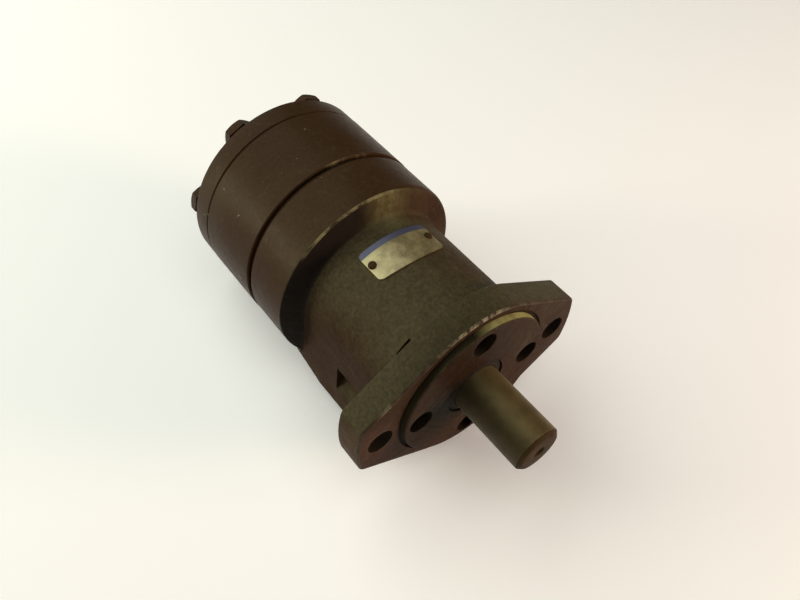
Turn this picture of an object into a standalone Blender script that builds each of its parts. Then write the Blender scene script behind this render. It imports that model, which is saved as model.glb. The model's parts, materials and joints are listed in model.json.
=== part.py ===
"""Low-speed orbital hydraulic motor with a two-bolt flange, for Blender 4.5.

The shaft runs along +X, the mounting ears lie along Y and the nameplate faces +Z.
The origin is the centre of the flange's mounting face. Sizes below are millimetres.
"""

import math

import bmesh
import bpy
from mathutils import Matrix, Vector

MM = 0.001
GAP = 0.3
MERGE = 1e-6
SHARP = math.radians(35)
COLLECTION = "hydraulic_motor"
LARGE = 48
SMALL = 28

# Mounting flange and pilot
FLANGE_THICK = 15.2
FLANGE_RADIUS = 47.0
EAR_RADIUS = 65.5
EAR_CORNER = 5.6
EAR_SLOPE = math.radians(31.7)
EAR_BOLT_OFFSET = 53.2
EAR_BOLT_HOLE = 6.75
PILOT_RADIUS = 41.27
PILOT_HEIGHT = 3.0
RELIEF_RADIUS = 43.4
RELIEF_DEPTH = 1.0
SCREW_CIRCLE = 32.5
SCREW_COUNTERBORE = 6.5
SCREW_SEAT = -11.0
SCREW_HEAD = 6.0
SCREW_HEAD_HEIGHT = 8.0
SCREW_SOCKET = 3.46
SCREW_LENGTH = 21.0
SCREW_HOLE_END = -33.0
FLANGE_SEAL_GROOVE = (24.4, 27.2)

# Shaft and its seals
SHAFT_RADIUS = 12.5
SHAFT_END = 45.3
SHAFT_CHAMFER = 1.9
SHAFT_BORE = 13.0
DUST_BORE = 16.5
DUST_SEAT = -1.3
SEAL_BORE = 18.5
SEAL_SEAT = -5.0
SEAL_REAR = -13.6
CENTRE_HOLE = 2.1
CENTRE_MOUTH = 3.2
CENTRE_DEPTH = 18.3
RACE_LAND = 14.0
RACE_STEP = -14.0
RACE_THICK = 1.7
SPOOL_RADIUS = 18.0
SPOOL_FRONT = -22.8
SPOOL_REAR = -100.0
SPOOL_GROOVES = (-40.0, -92.0)
SLOT_REACH = (-79.0, -74.0)
SLOT_WIDTH = 4.0
SPOOL_SLOTS = 6
SOCKET_RADIUS = 12.6
SOCKET_SPLINE = 10.8
SOCKET_STEP = -66.0
SOCKET_END = -46.0
KEY_WIDTH = 8.0
KEY_SPAN = (8.0, 40.0)
KEY_FLOOR = -8.7
KEY_TOP = -15.4

# Housing
NECK_RADIUS = 41.0
NECK_FRONT = -(FLANGE_THICK + GAP)
SHOULDER_FOOT = -76.5
DRUM_FRONT = -81.0
DRUM_RADIUS = 53.4
DRUM_REAR = -108.6
BEARING_BORE = 24.0
BEARING_SEAT = -26.0
SPOOL_BORE = SPOOL_RADIUS + GAP
BLOCK_SPAN = (-86.5, -22.0)
BLOCK_HALF_WIDTH = 43.2
BLOCK_FLOOR = -46.0
BLOCK_CORNER = 2.4
BLOCK_ROOT = (30.0, 10.0)
BLOCK_BREAK = (42.2, -8.0)
# The slope across the block's lower rear corners: where it starts, and its rise per millimetre
TRIM_START = -64.0
TRIM_RISE = 0.31
PORT_RADIUS = 10.3
PORT_X = (-45.0, -66.0)
PORT_OFFSET = 19.0
PORT_ROOF = -30.0
PASSAGE_RADIUS = 4.0
# A passage's (x, y) in its port's roof and its (y, z) in the spool's groove
PASSAGES = (((-41.0, 14.0), (13.0, -8.5)), ((-66.0, -22.0), (-13.6, -8.5)))
POCKET_RADIUS = 10.0
POCKET_CENTRE = (47.5, -20.5)
POCKET_REAR = -49.4
TAPPED_RADIUS = 4.3
VALVE_CIRCLE = 26.0
VALVE_HOLE = 2.4
VALVE_END = -63.5
DRAIN_CENTRE = (-68.0, -28.0)
DRAIN_FACE = 42.0
DRAIN_SPOT = 10.0
DRAIN_HOLE = 6.6
DRAIN_END = 30.0
DRAIN_HEAD = 8.3
DRAIN_SOCKET = 4.04

# Gear set, plate, cap and bolts
PLATE_RADIUS = 51.6
PLATE_BORE = 13.5
PLATE_SPAN = (-110.5, -108.9)
RING_RADIUS = 53.7
RING_SPAN = (-151.2, -110.8)
CAP_RADIUS = 53.5
CAP_SPAN = (-163.5, -151.5)
ROLLERS = 7
ROLLER_CIRCLE = 30.0
ROLLER_RADIUS = 6.8
ROLLER_SPAN = (-150.9, -111.1)
ECCENTRICITY = 2.8
RING_BORE = 29.2
BOLT_CIRCLE = 45.5
BOLT_PHASE = math.radians(115.3)
BOLT_RADIUS = 4.0
BOLT_END = -90.0
BOLT_FLATS = 16.0
BOLT_HEAD = 5.5
BOLT_WASHER = 7.6
ROLLER_PHASE = BOLT_PHASE + math.pi / ROLLERS
STAR_SPLINE = 11.4
LINK_FRONT = -56.0
LINK_REAR = -131.0
LINK_SHANK = 7.5
SEAL_GROOVE = (38.0, 40.5)
CHECK_CIRCLE = 33.0
CHECK_SPREAD = math.radians(20.0)
CHECK_BORE = 3.9
CHECK_END = -92.0
CHECK_SEAT_SPAN = (-107.0, -101.0)
CHECK_SEAT_HOLE = 1.6
BALL_X = -97.5
BALL_RADIUS = 3.1

# Nameplate
PLATE_X = -57.7
PLATE_WIDTH = 17.6
PLATE_ENDS = (math.radians(-25.5), math.radians(28.3))
PLATE_SCREWS = (math.radians(-22.3), math.radians(23.9))
PLATE_THICK = 0.5
PLATE_SCREW_RADIUS = 1.0
PLATE_SCREW_HEAD = 2.1
PLATE_SCREW_END = 38.5
PLATE_SCREW_HOLE = (37.0, 43.0)

# Finishes: sRGB colour, roughness, metallic
FINISHES = {
    "paint": ((0.24, 0.20, 0.15), 0.55, 0.1),
    "steel": ((0.33, 0.29, 0.22), 0.35, 0.9),
    "bright_steel": ((0.55, 0.55, 0.54), 0.25, 1.0),
    "dark_steel": ((0.13, 0.12, 0.11), 0.45, 0.8),
    "rubber": ((0.05, 0.05, 0.05), 0.7, 0.0),
    "plate": ((0.72, 0.68, 0.52), 0.4, 0.8),
}


def around(count, radius, phase=0.0):
    """Points (y, z) spaced evenly on a circle about the X axis."""
    angles = [phase + 2 * math.pi * k / count for k in range(count)]
    return [(radius * math.cos(a), radius * math.sin(a)) for a in angles]


def arc(centre, radius, start, end, steps):
    """Points (y, z) along an arc, both ends included."""
    angles = [start + (end - start) * k / steps for k in range(steps + 1)]
    return [(centre[0] + radius * math.cos(a), centre[1] + radius * math.sin(a)) for a in angles]


def link(obj):
    bpy.data.collections[COLLECTION].objects.link(obj)
    bpy.context.view_layer.update()
    return obj


def settled(obj):
    """Turn an object with modifiers, or a curve, into one clean closed mesh with outward faces."""
    bpy.context.view_layer.update()
    graph = bpy.context.evaluated_depsgraph_get()
    mesh = bpy.data.meshes.new_from_object(obj.evaluated_get(graph))
    body = bmesh.new()
    body.from_mesh(mesh)
    body.transform(obj.matrix_world)
    bmesh.ops.remove_doubles(body, verts=body.verts, dist=MERGE)
    bmesh.ops.dissolve_degenerate(body, edges=body.edges, dist=MERGE)
    bmesh.ops.recalc_face_normals(body, faces=body.faces)
    body.to_mesh(mesh)
    body.free()
    bpy.data.objects.remove(obj)
    return link(bpy.data.objects.new("shape", mesh))


def turned(profile, steps=LARGE):
    """A profile of (x, radius) points, turned about the X axis. Off the axis it is a closed ring."""
    mesh = bpy.data.meshes.new("profile")
    points = [(x * MM, 0.0, r * MM) for x, r in profile]
    edges = [(k, k + 1) for k in range(len(points) - 1)]
    if profile[0][1] > 0:
        edges.append((len(points) - 1, 0))
    mesh.from_pydata(points, edges, [])
    obj = link(bpy.data.objects.new("profile", mesh))
    spin = obj.modifiers.new("turn", "SCREW")
    spin.axis = "X"
    spin.steps = steps
    spin.render_steps = steps
    spin.use_merge_vertices = True
    spin.merge_threshold = MERGE
    return flat_ended(settled(obj))


def flat_ended(obj):
    """Merge the fan of triangles on each flat end of a turning into one face."""
    body = bmesh.new()
    body.from_mesh(obj.data)
    centres = []
    for point in body.verts:
        around_it = [edge.other_vert(point).co.x for edge in point.link_edges]
        flat = all(abs(x - point.co.x) < MERGE for x in around_it)
        if flat and math.hypot(point.co.y, point.co.z) < MERGE:
            centres.append(point)
    bmesh.ops.dissolve_verts(body, verts=centres)
    body.to_mesh(obj.data)
    body.free()
    return obj


def tube(span, inner, outer, steps=SMALL):
    """A plain ring about the X axis."""
    return turned([(span[0], inner), (span[0], outer), (span[1], outer), (span[1], inner)], steps)


def prism(outlines, span, edge=0.0):
    """Closed outlines of (y, z) points, filled and extruded along X; inner outlines are holes."""
    curve = bpy.data.curves.new("outline", "CURVE")
    curve.dimensions = "2D"
    curve.fill_mode = "BOTH"
    curve.extrude = (span[1] - span[0]) / 2 * MM
    for outline in outlines:
        spline = curve.splines.new("POLY")
        spline.points.add(len(outline) - 1)
        for point, (y, z) in zip(spline.points, outline):
            point.co = (y * MM, z * MM, 0.0, 1.0)
        spline.use_cyclic_u = True
    obj = link(bpy.data.objects.new("outline", curve))
    along_x = Matrix(((0, 0, 1, 0), (1, 0, 0, 0), (0, 1, 0, 0), (0, 0, 0, 1)))
    obj.matrix_world = Matrix.Translation(((span[0] + span[1]) / 2 * MM, 0, 0)) @ along_x
    obj = settled(obj)
    if edge:
        round_edges(obj, edge)
        obj = settled(obj)
    return obj


def round_edges(obj, width, segments=1):
    bevel = obj.modifiers.new("edges", "BEVEL")
    bevel.width = width * MM
    bevel.segments = segments
    bevel.limit_method = "ANGLE"
    bevel.angle_limit = math.radians(60)


def rods(ends, radius, sides=16):
    """Cylinders between pairs of points, as one object."""
    body = bmesh.new()
    for start, end in ends:
        first = Vector(start) * MM
        last = Vector(end) * MM
        turn = (last - first).to_track_quat("Z", "Y").to_matrix().to_4x4()
        bmesh.ops.create_cone(
            body, cap_ends=True, segments=sides, radius1=radius * MM, radius2=radius * MM,
            depth=(last - first).length, matrix=Matrix.Translation((first + last) / 2) @ turn)
    mesh = bpy.data.meshes.new("rods")
    body.to_mesh(mesh)
    body.free()
    return link(bpy.data.objects.new("rods", mesh))


def axial(places, span, radius, sides=16):
    """Cylinders along X at each (y, z) place."""
    return rods([((span[0], y, z), (span[1], y, z)) for y, z in places], radius, sides)


def boxes(bounds):
    """Boxes given by their low and high corners, as one object."""
    body = bmesh.new()
    for low, high in bounds:
        size = [(b - a) * MM for a, b in zip(low, high)]
        centre = [(a + b) / 2 * MM for a, b in zip(low, high)]
        place = Matrix.Translation(centre) @ Matrix.Diagonal((*size, 1.0))
        bmesh.ops.create_cube(body, size=1.0, matrix=place)
    mesh = bpy.data.meshes.new("boxes")
    body.to_mesh(mesh)
    body.free()
    return link(bpy.data.objects.new("boxes", mesh))


def combine(target, other, operation):
    change = target.modifiers.new("combine", "BOOLEAN")
    change.operation = operation
    change.object = other
    change.solver = "EXACT"
    target = settled(target)
    bpy.data.objects.remove(other)
    return target


def cut(target, *cutters):
    for cutter in cutters:
        target = combine(target, cutter, "DIFFERENCE")
    return target


def fused(target, *others):
    for other in others:
        target = combine(target, other, "UNION")
    return target


def copied(obj):
    return link(bpy.data.objects.new("copy", obj.data.copy()))


def moved(obj, matrix):
    obj.data.transform(matrix)
    obj.data.update()
    return obj


def finished(obj, name, finish, origin=(0.0, 0.0, 0.0)):
    """Name a piece, put its origin on its own axis and give it its material."""
    colour, roughness, metallic = FINISHES[finish]
    material = bpy.data.materials.new(name)
    material.use_nodes = True
    shader = material.node_tree.nodes["Principled BSDF"]
    shader.inputs["Base Color"].default_value = (*[c ** 2.2 for c in colour], 1.0)
    shader.inputs["Roughness"].default_value = roughness
    shader.inputs["Metallic"].default_value = metallic
    obj.data.materials.clear()
    obj.data.materials.append(material)
    obj.data.shade_smooth()
    obj.data.set_sharp_from_angle(angle=SHARP)
    place = Vector(origin) * MM
    obj.data.transform(Matrix.Translation(-place))
    obj.location = place
    obj.name = name
    obj.data.name = name
    return obj


def star_centre():
    """Where the star's axis crosses the YZ plane at rest."""
    return ECCENTRICITY * math.cos(ROLLER_PHASE), ECCENTRICITY * math.sin(ROLLER_PHASE)


def splined(inner, depth, teeth=12):
    """A spline outline: straight-sided grooves that deepen a round hole."""
    outline = []
    for k in range(teeth):
        middle = 2 * math.pi * k / teeth
        half = math.pi / teeth / 2
        outline += arc((0, 0), inner, middle - 3 * half, middle - half, 1)
        outline += arc((0, 0), inner + depth, middle - half, middle + half, 1)
    return outline


def flange_outline():
    """Round middle, straight tangent sides and ears with rounded corners."""
    side = math.pi / 2 - EAR_SLOPE
    normal = Vector((math.cos(side), math.sin(side)))
    across = FLANGE_RADIUS - EAR_CORNER
    along = math.sqrt((EAR_RADIUS - EAR_CORNER) ** 2 - across ** 2)
    corner = across * normal + along * Vector((normal.y, -normal.x))
    end = math.atan2(corner.y, corner.x)
    quarter = arc((0, 0), EAR_RADIUS, 0, end, 4)[:-1]
    quarter += arc(corner, EAR_CORNER, end, side, 5)
    quarter += arc((0, 0), FLANGE_RADIUS, side, math.pi / 2, 6)
    upper = quarter + [(-y, z) for y, z in reversed(quarter[:-1])]
    return upper + [(y, -z) for y, z in reversed(upper[1:-1])]


def mounting_flange():
    plate = prism([flange_outline()], (-FLANGE_THICK, 0.0), edge=0.8)
    plate = cut(plate, tube((-RELIEF_DEPTH, 2.0), PILOT_RADIUS - 1.5, RELIEF_RADIUS, LARGE))
    rim = 0.6
    pilot = turned([(-5.0, 0), (-5.0, PILOT_RADIUS), (PILOT_HEIGHT - rim, PILOT_RADIUS),
                    (PILOT_HEIGHT, PILOT_RADIUS - rim), (PILOT_HEIGHT, 0)])
    flange = fused(plate, pilot)
    bore = turned([(-FLANGE_THICK - 1, 0), (-FLANGE_THICK - 1, SEAL_BORE), (SEAL_SEAT, SEAL_BORE),
                   (SEAL_SEAT, SHAFT_BORE), (DUST_SEAT, SHAFT_BORE), (DUST_SEAT, DUST_BORE),
                   (PILOT_HEIGHT + 1, DUST_BORE), (PILOT_HEIGHT + 1, 0)], SMALL)
    groove = tube((-FLANGE_THICK - 1, -FLANGE_THICK + 2.0), *FLANGE_SEAL_GROOVE)
    through = (-FLANGE_THICK - 2, PILOT_HEIGHT + 2)
    screws = around(4, SCREW_CIRCLE)
    clearance = axial(screws, through, TAPPED_RADIUS + 0.2, 10)
    counterbores = axial(screws, (SCREW_SEAT, PILOT_HEIGHT + 2), SCREW_COUNTERBORE, 16)
    ears = axial(around(2, EAR_BOLT_OFFSET), through, EAR_BOLT_HOLE, 20)
    flange = cut(flange, bore, groove, clearance, counterbores, ears)
    finished(flange, "mounting_flange", "paint")


def flange_screws():
    """Socket-head screws, sunk in the pilot face."""
    floor = SCREW_SEAT + GAP
    head = floor + SCREW_HEAD_HEIGHT
    end = floor - SCREW_LENGTH
    screw = turned([(end, 0), (end, BOLT_RADIUS), (floor, BOLT_RADIUS), (floor, SCREW_HEAD),
                    (head - 0.5, SCREW_HEAD), (head, SCREW_HEAD - 0.5), (head, 0)], 14)
    socket = prism([around(6, SCREW_SOCKET)], (head - 4.0, head + 1.0))
    screw = cut(screw, socket)
    for k, (y, z) in enumerate(around(4, SCREW_CIRCLE)):
        one = moved(copied(screw), Matrix.Translation(Vector((0, y, z)) * MM))
        finished(one, f"flange_screw_{k + 1}", "dark_steel", (0, y, z))
    bpy.data.objects.remove(screw)


def housing_body():
    """Cast body: neck, shoulder and drum in one turning, with the port block fused under the neck."""
    chamfer = 1.0
    edge = 0.6
    foot = SHOULDER_FOOT
    body = turned([(NECK_FRONT, 0), (NECK_FRONT, NECK_RADIUS - chamfer), (NECK_FRONT - chamfer, NECK_RADIUS),
                   (foot + 2.0, NECK_RADIUS), (foot, NECK_RADIUS + 0.8), (foot - 1.1, NECK_RADIUS + 2.8),
                   (DRUM_FRONT, DRUM_RADIUS - edge), (DRUM_FRONT - edge, DRUM_RADIUS),
                   (DRUM_REAR + chamfer, DRUM_RADIUS), (DRUM_REAR, DRUM_RADIUS - chamfer), (DRUM_REAR, 0)])
    half = BLOCK_HALF_WIDTH
    side = [BLOCK_ROOT, BLOCK_BREAK, (half, BLOCK_FLOOR + BLOCK_CORNER)]
    side += [(half - BLOCK_CORNER, BLOCK_FLOOR)]
    outline = side + [(-y, z) for y, z in reversed(side)]
    block = prism([outline], BLOCK_SPAN, edge=1.5)
    return fused(body, cut(block, corner_trim(1), corner_trim(-1)))


def corner_trim(side):
    """A box that slopes off the block's lower rear corner on one side."""
    start = Vector((TRIM_START, side * BLOCK_HALF_WIDTH, BLOCK_FLOOR + BLOCK_CORNER))
    outward = Vector((-TRIM_RISE, side, -1))
    turn = outward.to_track_quat("Z", "Y").to_matrix().to_4x4()
    reach = 40.0
    return moved(boxes([((-reach, -reach, 0), (reach, reach, reach))]), Matrix.Translation(start * MM) @ turn)


def housing():
    body = housing_body()
    bore = turned([(NECK_FRONT + 1, 0), (NECK_FRONT + 1, BEARING_BORE), (BEARING_SEAT, BEARING_BORE),
                   (BEARING_SEAT, SPOOL_BORE), (DRUM_REAR - 1, SPOOL_BORE), (DRUM_REAR - 1, 0)], SMALL)
    body = cut(body, bore)
    # Ports in the underside, each with a passage to its spool groove
    ports = list(zip(PORT_X, (PORT_OFFSET, -PORT_OFFSET)))
    below = BLOCK_FLOOR - 2
    body = cut(body, rods([((x, y, below), (x, y, PORT_ROOF)) for x, y in ports], PORT_RADIUS, 24))
    inside = PORT_ROOF - 3
    passages = [((*roof, inside), (groove, *end)) for groove, (roof, end) in zip(SPOOL_GROOVES, PASSAGES)]
    body = cut(body, rods(passages, PASSAGE_RADIUS, 12))
    # Clearance pockets behind the ears
    y, z = POCKET_CENTRE
    body = cut(body, axial([(y, z), (-y, z)], (POCKET_REAR, NECK_FRONT + 2), POCKET_RADIUS, 24))
    # Threaded holes for the flange screws and the end-cap bolts
    body = cut(body, axial(around(4, SCREW_CIRCLE), (SCREW_HOLE_END, NECK_FRONT + 2), TAPPED_RADIUS, 10))
    bolts = around(ROLLERS, BOLT_CIRCLE, BOLT_PHASE)
    body = cut(body, axial(bolts, (DRUM_REAR - 2, BOLT_END + 2), TAPPED_RADIUS, 10))
    # Valve passages that slant from the rear face into the spool bore
    outer = around(ROLLERS, VALVE_CIRCLE, ROLLER_PHASE)
    inner = around(ROLLERS, SPOOL_BORE - 3.0, ROLLER_PHASE)
    slants = [((DRUM_REAR - 2, *a), (VALVE_END, *b)) for a, b in zip(outer, inner)]
    body = cut(body, rods(slants, VALVE_HOLE, 8))
    # Check valve bores, seal groove, case drain and nameplate screw holes
    body = cut(body, axial(check_places(), (DRUM_REAR - 2, CHECK_END), CHECK_BORE, 12))
    body = cut(body, tube((DRUM_REAR - 1, DRUM_REAR + 1.6), *SEAL_GROOVE))
    x, z = DRAIN_CENTRE
    body = cut(body, rods([((x, DRAIN_FACE, z), (x, DRAIN_FACE + 6, z))], DRAIN_SPOT, 24))
    body = cut(body, rods([((x, DRAIN_END, z), (x, DRAIN_FACE + 2, z))], DRAIN_HOLE, 16))
    holes = [[radial(a, reach) for reach in PLATE_SCREW_HOLE] for a in PLATE_SCREWS]
    body = cut(body, rods(holes, PLATE_SCREW_RADIUS + GAP, 10))
    finished(body, "housing", "paint")


def check_places():
    down = -math.pi / 2
    angles = (down - CHECK_SPREAD, down + CHECK_SPREAD)
    return [(CHECK_CIRCLE * math.cos(a), CHECK_CIRCLE * math.sin(a)) for a in angles]


def check_valves():
    """Two balls that lift off their pressed-in seats."""
    for k, (y, z) in enumerate(check_places()):
        shift = Matrix.Translation(Vector((0, y, z)) * MM)
        seat = moved(tube(CHECK_SEAT_SPAN, CHECK_SEAT_HOLE, CHECK_BORE - GAP, 12), shift)
        finished(seat, f"check_seat_{k + 1}", "bright_steel", (sum(CHECK_SEAT_SPAN) / 2, y, z))
        ball = bmesh.new()
        bmesh.ops.create_uvsphere(ball, u_segments=12, v_segments=8, radius=BALL_RADIUS * MM,
                                  matrix=Matrix.Translation(Vector((BALL_X, y, z)) * MM))
        mesh = bpy.data.meshes.new("ball")
        ball.to_mesh(mesh)
        ball.free()
        piece = link(bpy.data.objects.new("ball", mesh))
        finished(piece, f"check_ball_{k + 1}", "bright_steel", (BALL_X, y, z))


def output_shaft():
    """Plain shaft end and valve spool in one piece, with the link's splined socket in its rear."""
    lip = SHAFT_CHAMFER
    groove = 2.5
    floor = SPOOL_RADIUS - 2.2
    bottom = SHAFT_END - CENTRE_DEPTH
    profile = [(bottom, 0), (bottom + 1.2, CENTRE_HOLE), (SHAFT_END - lip, CENTRE_HOLE),
               (SHAFT_END, CENTRE_MOUTH), (SHAFT_END, SHAFT_RADIUS - lip), (SHAFT_END - lip, SHAFT_RADIUS),
               (RACE_STEP, SHAFT_RADIUS), (RACE_STEP, RACE_LAND), (SPOOL_FRONT, RACE_LAND),
               (SPOOL_FRONT, SPOOL_RADIUS)]
    for x in SPOOL_GROOVES:
        front, rear = x + groove, x - groove
        profile += [(front, SPOOL_RADIUS), (front, floor), (rear, floor), (rear, SPOOL_RADIUS)]
    profile += [(SPOOL_REAR, SPOOL_RADIUS), (SPOOL_REAR, SOCKET_RADIUS), (SOCKET_STEP, SOCKET_RADIUS),
                (SOCKET_STEP, SOCKET_SPLINE), (SOCKET_END, SOCKET_SPLINE), (SOCKET_END + 3.0, 0)]
    shaft = turned(profile, SMALL)
    shaft = cut(shaft, prism([splined(SOCKET_SPLINE - 0.5, 1.9)], (SOCKET_STEP - 1, SOCKET_END - 2)))
    half = KEY_WIDTH / 2
    keyway = ((KEY_SPAN[0] - GAP, -half, KEY_TOP - 1.6), (KEY_SPAN[1] + GAP, half, KEY_FLOOR))
    shaft = cut(shaft, boxes([keyway]))
    # Slots from both grooves in turn, long enough that both sets reach the slanting passages
    ends = [sorted(pair) for pair in zip(SPOOL_GROOVES, SLOT_REACH)]
    for k in range(2 * SPOOL_SLOTS):
        rear, front = ends[k % 2]
        slot = boxes([((rear, -SLOT_WIDTH / 2, floor), (front, SLOT_WIDTH / 2, SPOOL_RADIUS + 3))])
        shaft = cut(shaft, moved(slot, Matrix.Rotation(math.pi * k / SPOOL_SLOTS, 4, "X")))
    finished(shaft, "output_shaft", "steel")
    side = half - GAP / 2
    key = boxes([((KEY_SPAN[0], -side, KEY_TOP), (KEY_SPAN[1], side, KEY_FLOOR - GAP))])
    round_edges(key, 0.4)
    finished(settled(key), "shaft_key", "bright_steel")


def seals_and_bearing():
    floor = DUST_SEAT + GAP
    face = PILOT_HEIGHT - 0.8
    lip = PILOT_HEIGHT - 0.2
    inside = SHAFT_RADIUS + GAP
    dust = turned([(floor, inside), (floor, DUST_BORE - GAP), (face, DUST_BORE - GAP),
                   (face, SHAFT_RADIUS + 1.6), (lip, SHAFT_RADIUS + 0.9), (lip, inside)], SMALL)
    finished(dust, "dust_seal", "rubber")
    backup = tube((SEAL_SEAT - 1.8, SEAL_SEAT - GAP), SHAFT_RADIUS + GAP, SEAL_BORE - GAP)
    finished(backup, "seal_backup_washer", "bright_steel")
    seal = tube((SEAL_REAR, SEAL_SEAT - 2.1), SHAFT_RADIUS + GAP, SEAL_BORE - GAP)
    finished(seal, "shaft_seal", "rubber")
    outer = BEARING_BORE - GAP
    inner = RACE_LAND + GAP
    front_race = (NECK_FRONT - RACE_THICK, NECK_FRONT)
    rear_race = (SPOOL_FRONT + GAP, SPOOL_FRONT + GAP + RACE_THICK)
    between = (rear_race[1] + GAP, front_race[0] - GAP)
    finished(tube(front_race, inner, outer), "thrust_race_front", "bright_steel")
    finished(tube(between, inner + 0.7, outer - 0.7), "thrust_bearing", "bright_steel")
    finished(tube(rear_race, inner, outer), "thrust_race_rear", "bright_steel")


def o_rings():
    """Round-section rings, each in its groove."""
    mid = sum(SEAL_GROOVE) / 2
    wire = 0.75
    places = {"flange_o_ring": (-FLANGE_THICK + 0.85, sum(FLANGE_SEAL_GROOVE) / 2),
              "housing_o_ring": (DRUM_REAR + 0.65, mid), "geroler_o_ring": (RING_SPAN[1] - 0.65, mid),
              "cap_o_ring": (CAP_SPAN[1] - 0.65, mid)}
    for name, (x, radius) in places.items():
        section = [(x + wire * math.cos(a), radius + wire * math.sin(a))
                   for a in [2 * math.pi * k / 5 for k in range(5)]]
        finished(turned(section, SMALL), name, "rubber")


def ring_outline():
    """The ring's bore, opened by a round pocket for each roller."""
    pocket = ROLLER_RADIUS + GAP
    swing = math.acos((ROLLER_CIRCLE ** 2 + pocket ** 2 - RING_BORE ** 2) / (2 * ROLLER_CIRCLE * pocket))
    reach = math.acos((ROLLER_CIRCLE ** 2 + RING_BORE ** 2 - pocket ** 2) / (2 * ROLLER_CIRCLE * RING_BORE))
    outline = []
    for k, centre in enumerate(around(ROLLERS, ROLLER_CIRCLE, ROLLER_PHASE)):
        out = ROLLER_PHASE + 2 * math.pi * k / ROLLERS
        outline += arc(centre, pocket, out + swing - math.pi, out + math.pi - swing, 10)
        outline += arc((0, 0), RING_BORE, out + reach, out + 2 * math.pi / ROLLERS - reach, 4)[1:-1]
    return outline


def star_outline():
    """The star's profile: the roller-centre curve moved inward by a roller's radius and the clearance."""
    outline = []
    steps = 84
    inward = ROLLER_RADIUS + GAP
    bunching = 0.13
    for k in range(steps):
        # The points lie closer together in the valleys, where the outline runs fastest
        even = 2 * math.pi * k / steps
        u = even - bunching * math.sin((ROLLERS - 1) * even)
        y = ROLLER_CIRCLE * math.cos(u) - ECCENTRICITY * math.cos(ROLLERS * u)
        z = ROLLER_CIRCLE * math.sin(u) - ECCENTRICITY * math.sin(ROLLERS * u)
        dy = -ROLLER_CIRCLE * math.sin(u) + ROLLERS * ECCENTRICITY * math.sin(ROLLERS * u)
        dz = ROLLER_CIRCLE * math.cos(u) - ROLLERS * ECCENTRICITY * math.cos(ROLLERS * u)
        speed = math.hypot(dy, dz)
        outline.append((y - inward * dz / speed, z + inward * dy / speed))
    return outline


def gear_set():
    bolts = around(ROLLERS, BOLT_CIRCLE, BOLT_PHASE)
    chamfer = 0.6
    rear, front = RING_SPAN
    ring = turned([(rear, 0), (rear, RING_RADIUS - chamfer), (rear + chamfer, RING_RADIUS),
                   (front - chamfer, RING_RADIUS), (front, RING_RADIUS - chamfer), (front, 0)])
    ring = cut(ring, prism([ring_outline()], (rear - 1, front + 1)))
    ring = cut(ring, axial(bolts, (rear - 1, front + 1), TAPPED_RADIUS, 10))
    ring = cut(ring, tube((front - 1.6, front + 1), *SEAL_GROOVE))
    finished(ring, "geroler_ring", "paint")
    y, z = star_centre()
    star = prism([star_outline(), splined(STAR_SPLINE, 1.7)], ROLLER_SPAN)
    star = moved(star, Matrix.Translation(Vector((0, y, z)) * MM) @ Matrix.Rotation(ROLLER_PHASE, 4, "X"))
    finished(star, "geroler_star", "bright_steel", (0, y, z))
    for k, (y, z) in enumerate(around(ROLLERS, ROLLER_CIRCLE, ROLLER_PHASE)):
        roller = axial([(y, z)], ROLLER_SPAN, ROLLER_RADIUS, 20)
        finished(roller, f"roller_{k + 1}", "bright_steel", (0, y, z))


def barrel(middle, half, radius):
    """The bulging profile of one of the link's heads."""
    steps = [half * k / 2 for k in range(2, -3, -1)]
    return [(middle + along, radius - 0.9 * (along / half) ** 2) for along in steps]


def drive_link():
    """Round link with a barrel head at each end, leaning from the shaft's axis to the star's."""
    start = Vector((LINK_FRONT, 0, 0))
    end = Vector((LINK_REAR, *star_centre()))
    length = (end - start).length
    head = SOCKET_SPLINE - GAP
    tail = STAR_SPLINE - 0.4
    profile = [(8, 0)] + barrel(0, 8, head) + [(-12, LINK_SHANK), (14 - length, LINK_SHANK)]
    profile += barrel(-length, 10, tail) + [(-10 - length, 0)]
    bar = turned(profile, 20)
    lean = Vector((-1, 0, 0)).rotation_difference(end - start).to_matrix().to_4x4()
    bar = moved(bar, Matrix.Translation(start * MM) @ lean)
    finished(bar, "drive_link", "bright_steel")


def plate_and_cap():
    bolts = around(ROLLERS, BOLT_CIRCLE, BOLT_PHASE)
    holes = []
    for centre in bolts:
        holes.append([(centre[0] + y, centre[1] + z) for y, z in around(10, TAPPED_RADIUS)])
    for centre in around(ROLLERS, VALVE_CIRCLE, ROLLER_PHASE):
        holes.append([(centre[0] + y, centre[1] + z) for y, z in around(8, VALVE_HOLE)])
    plate = prism([around(LARGE, PLATE_RADIUS), around(24, PLATE_BORE)] + holes, PLATE_SPAN)
    finished(plate, "spacer_plate", "dark_steel")
    rear, front = CAP_SPAN
    chamfer = 0.7
    cap = turned([(rear, 0), (rear, CAP_RADIUS - chamfer), (rear + chamfer, CAP_RADIUS),
                  (front - chamfer, CAP_RADIUS), (front, CAP_RADIUS - chamfer), (front, 0)])
    cap = cut(cap, axial(bolts, (rear - 1, front + 1), TAPPED_RADIUS, 10))
    cap = cut(cap, tube((front - 1.6, front + 1), *SEAL_GROOVE))
    finished(cap, "end_cap", "paint")


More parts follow.
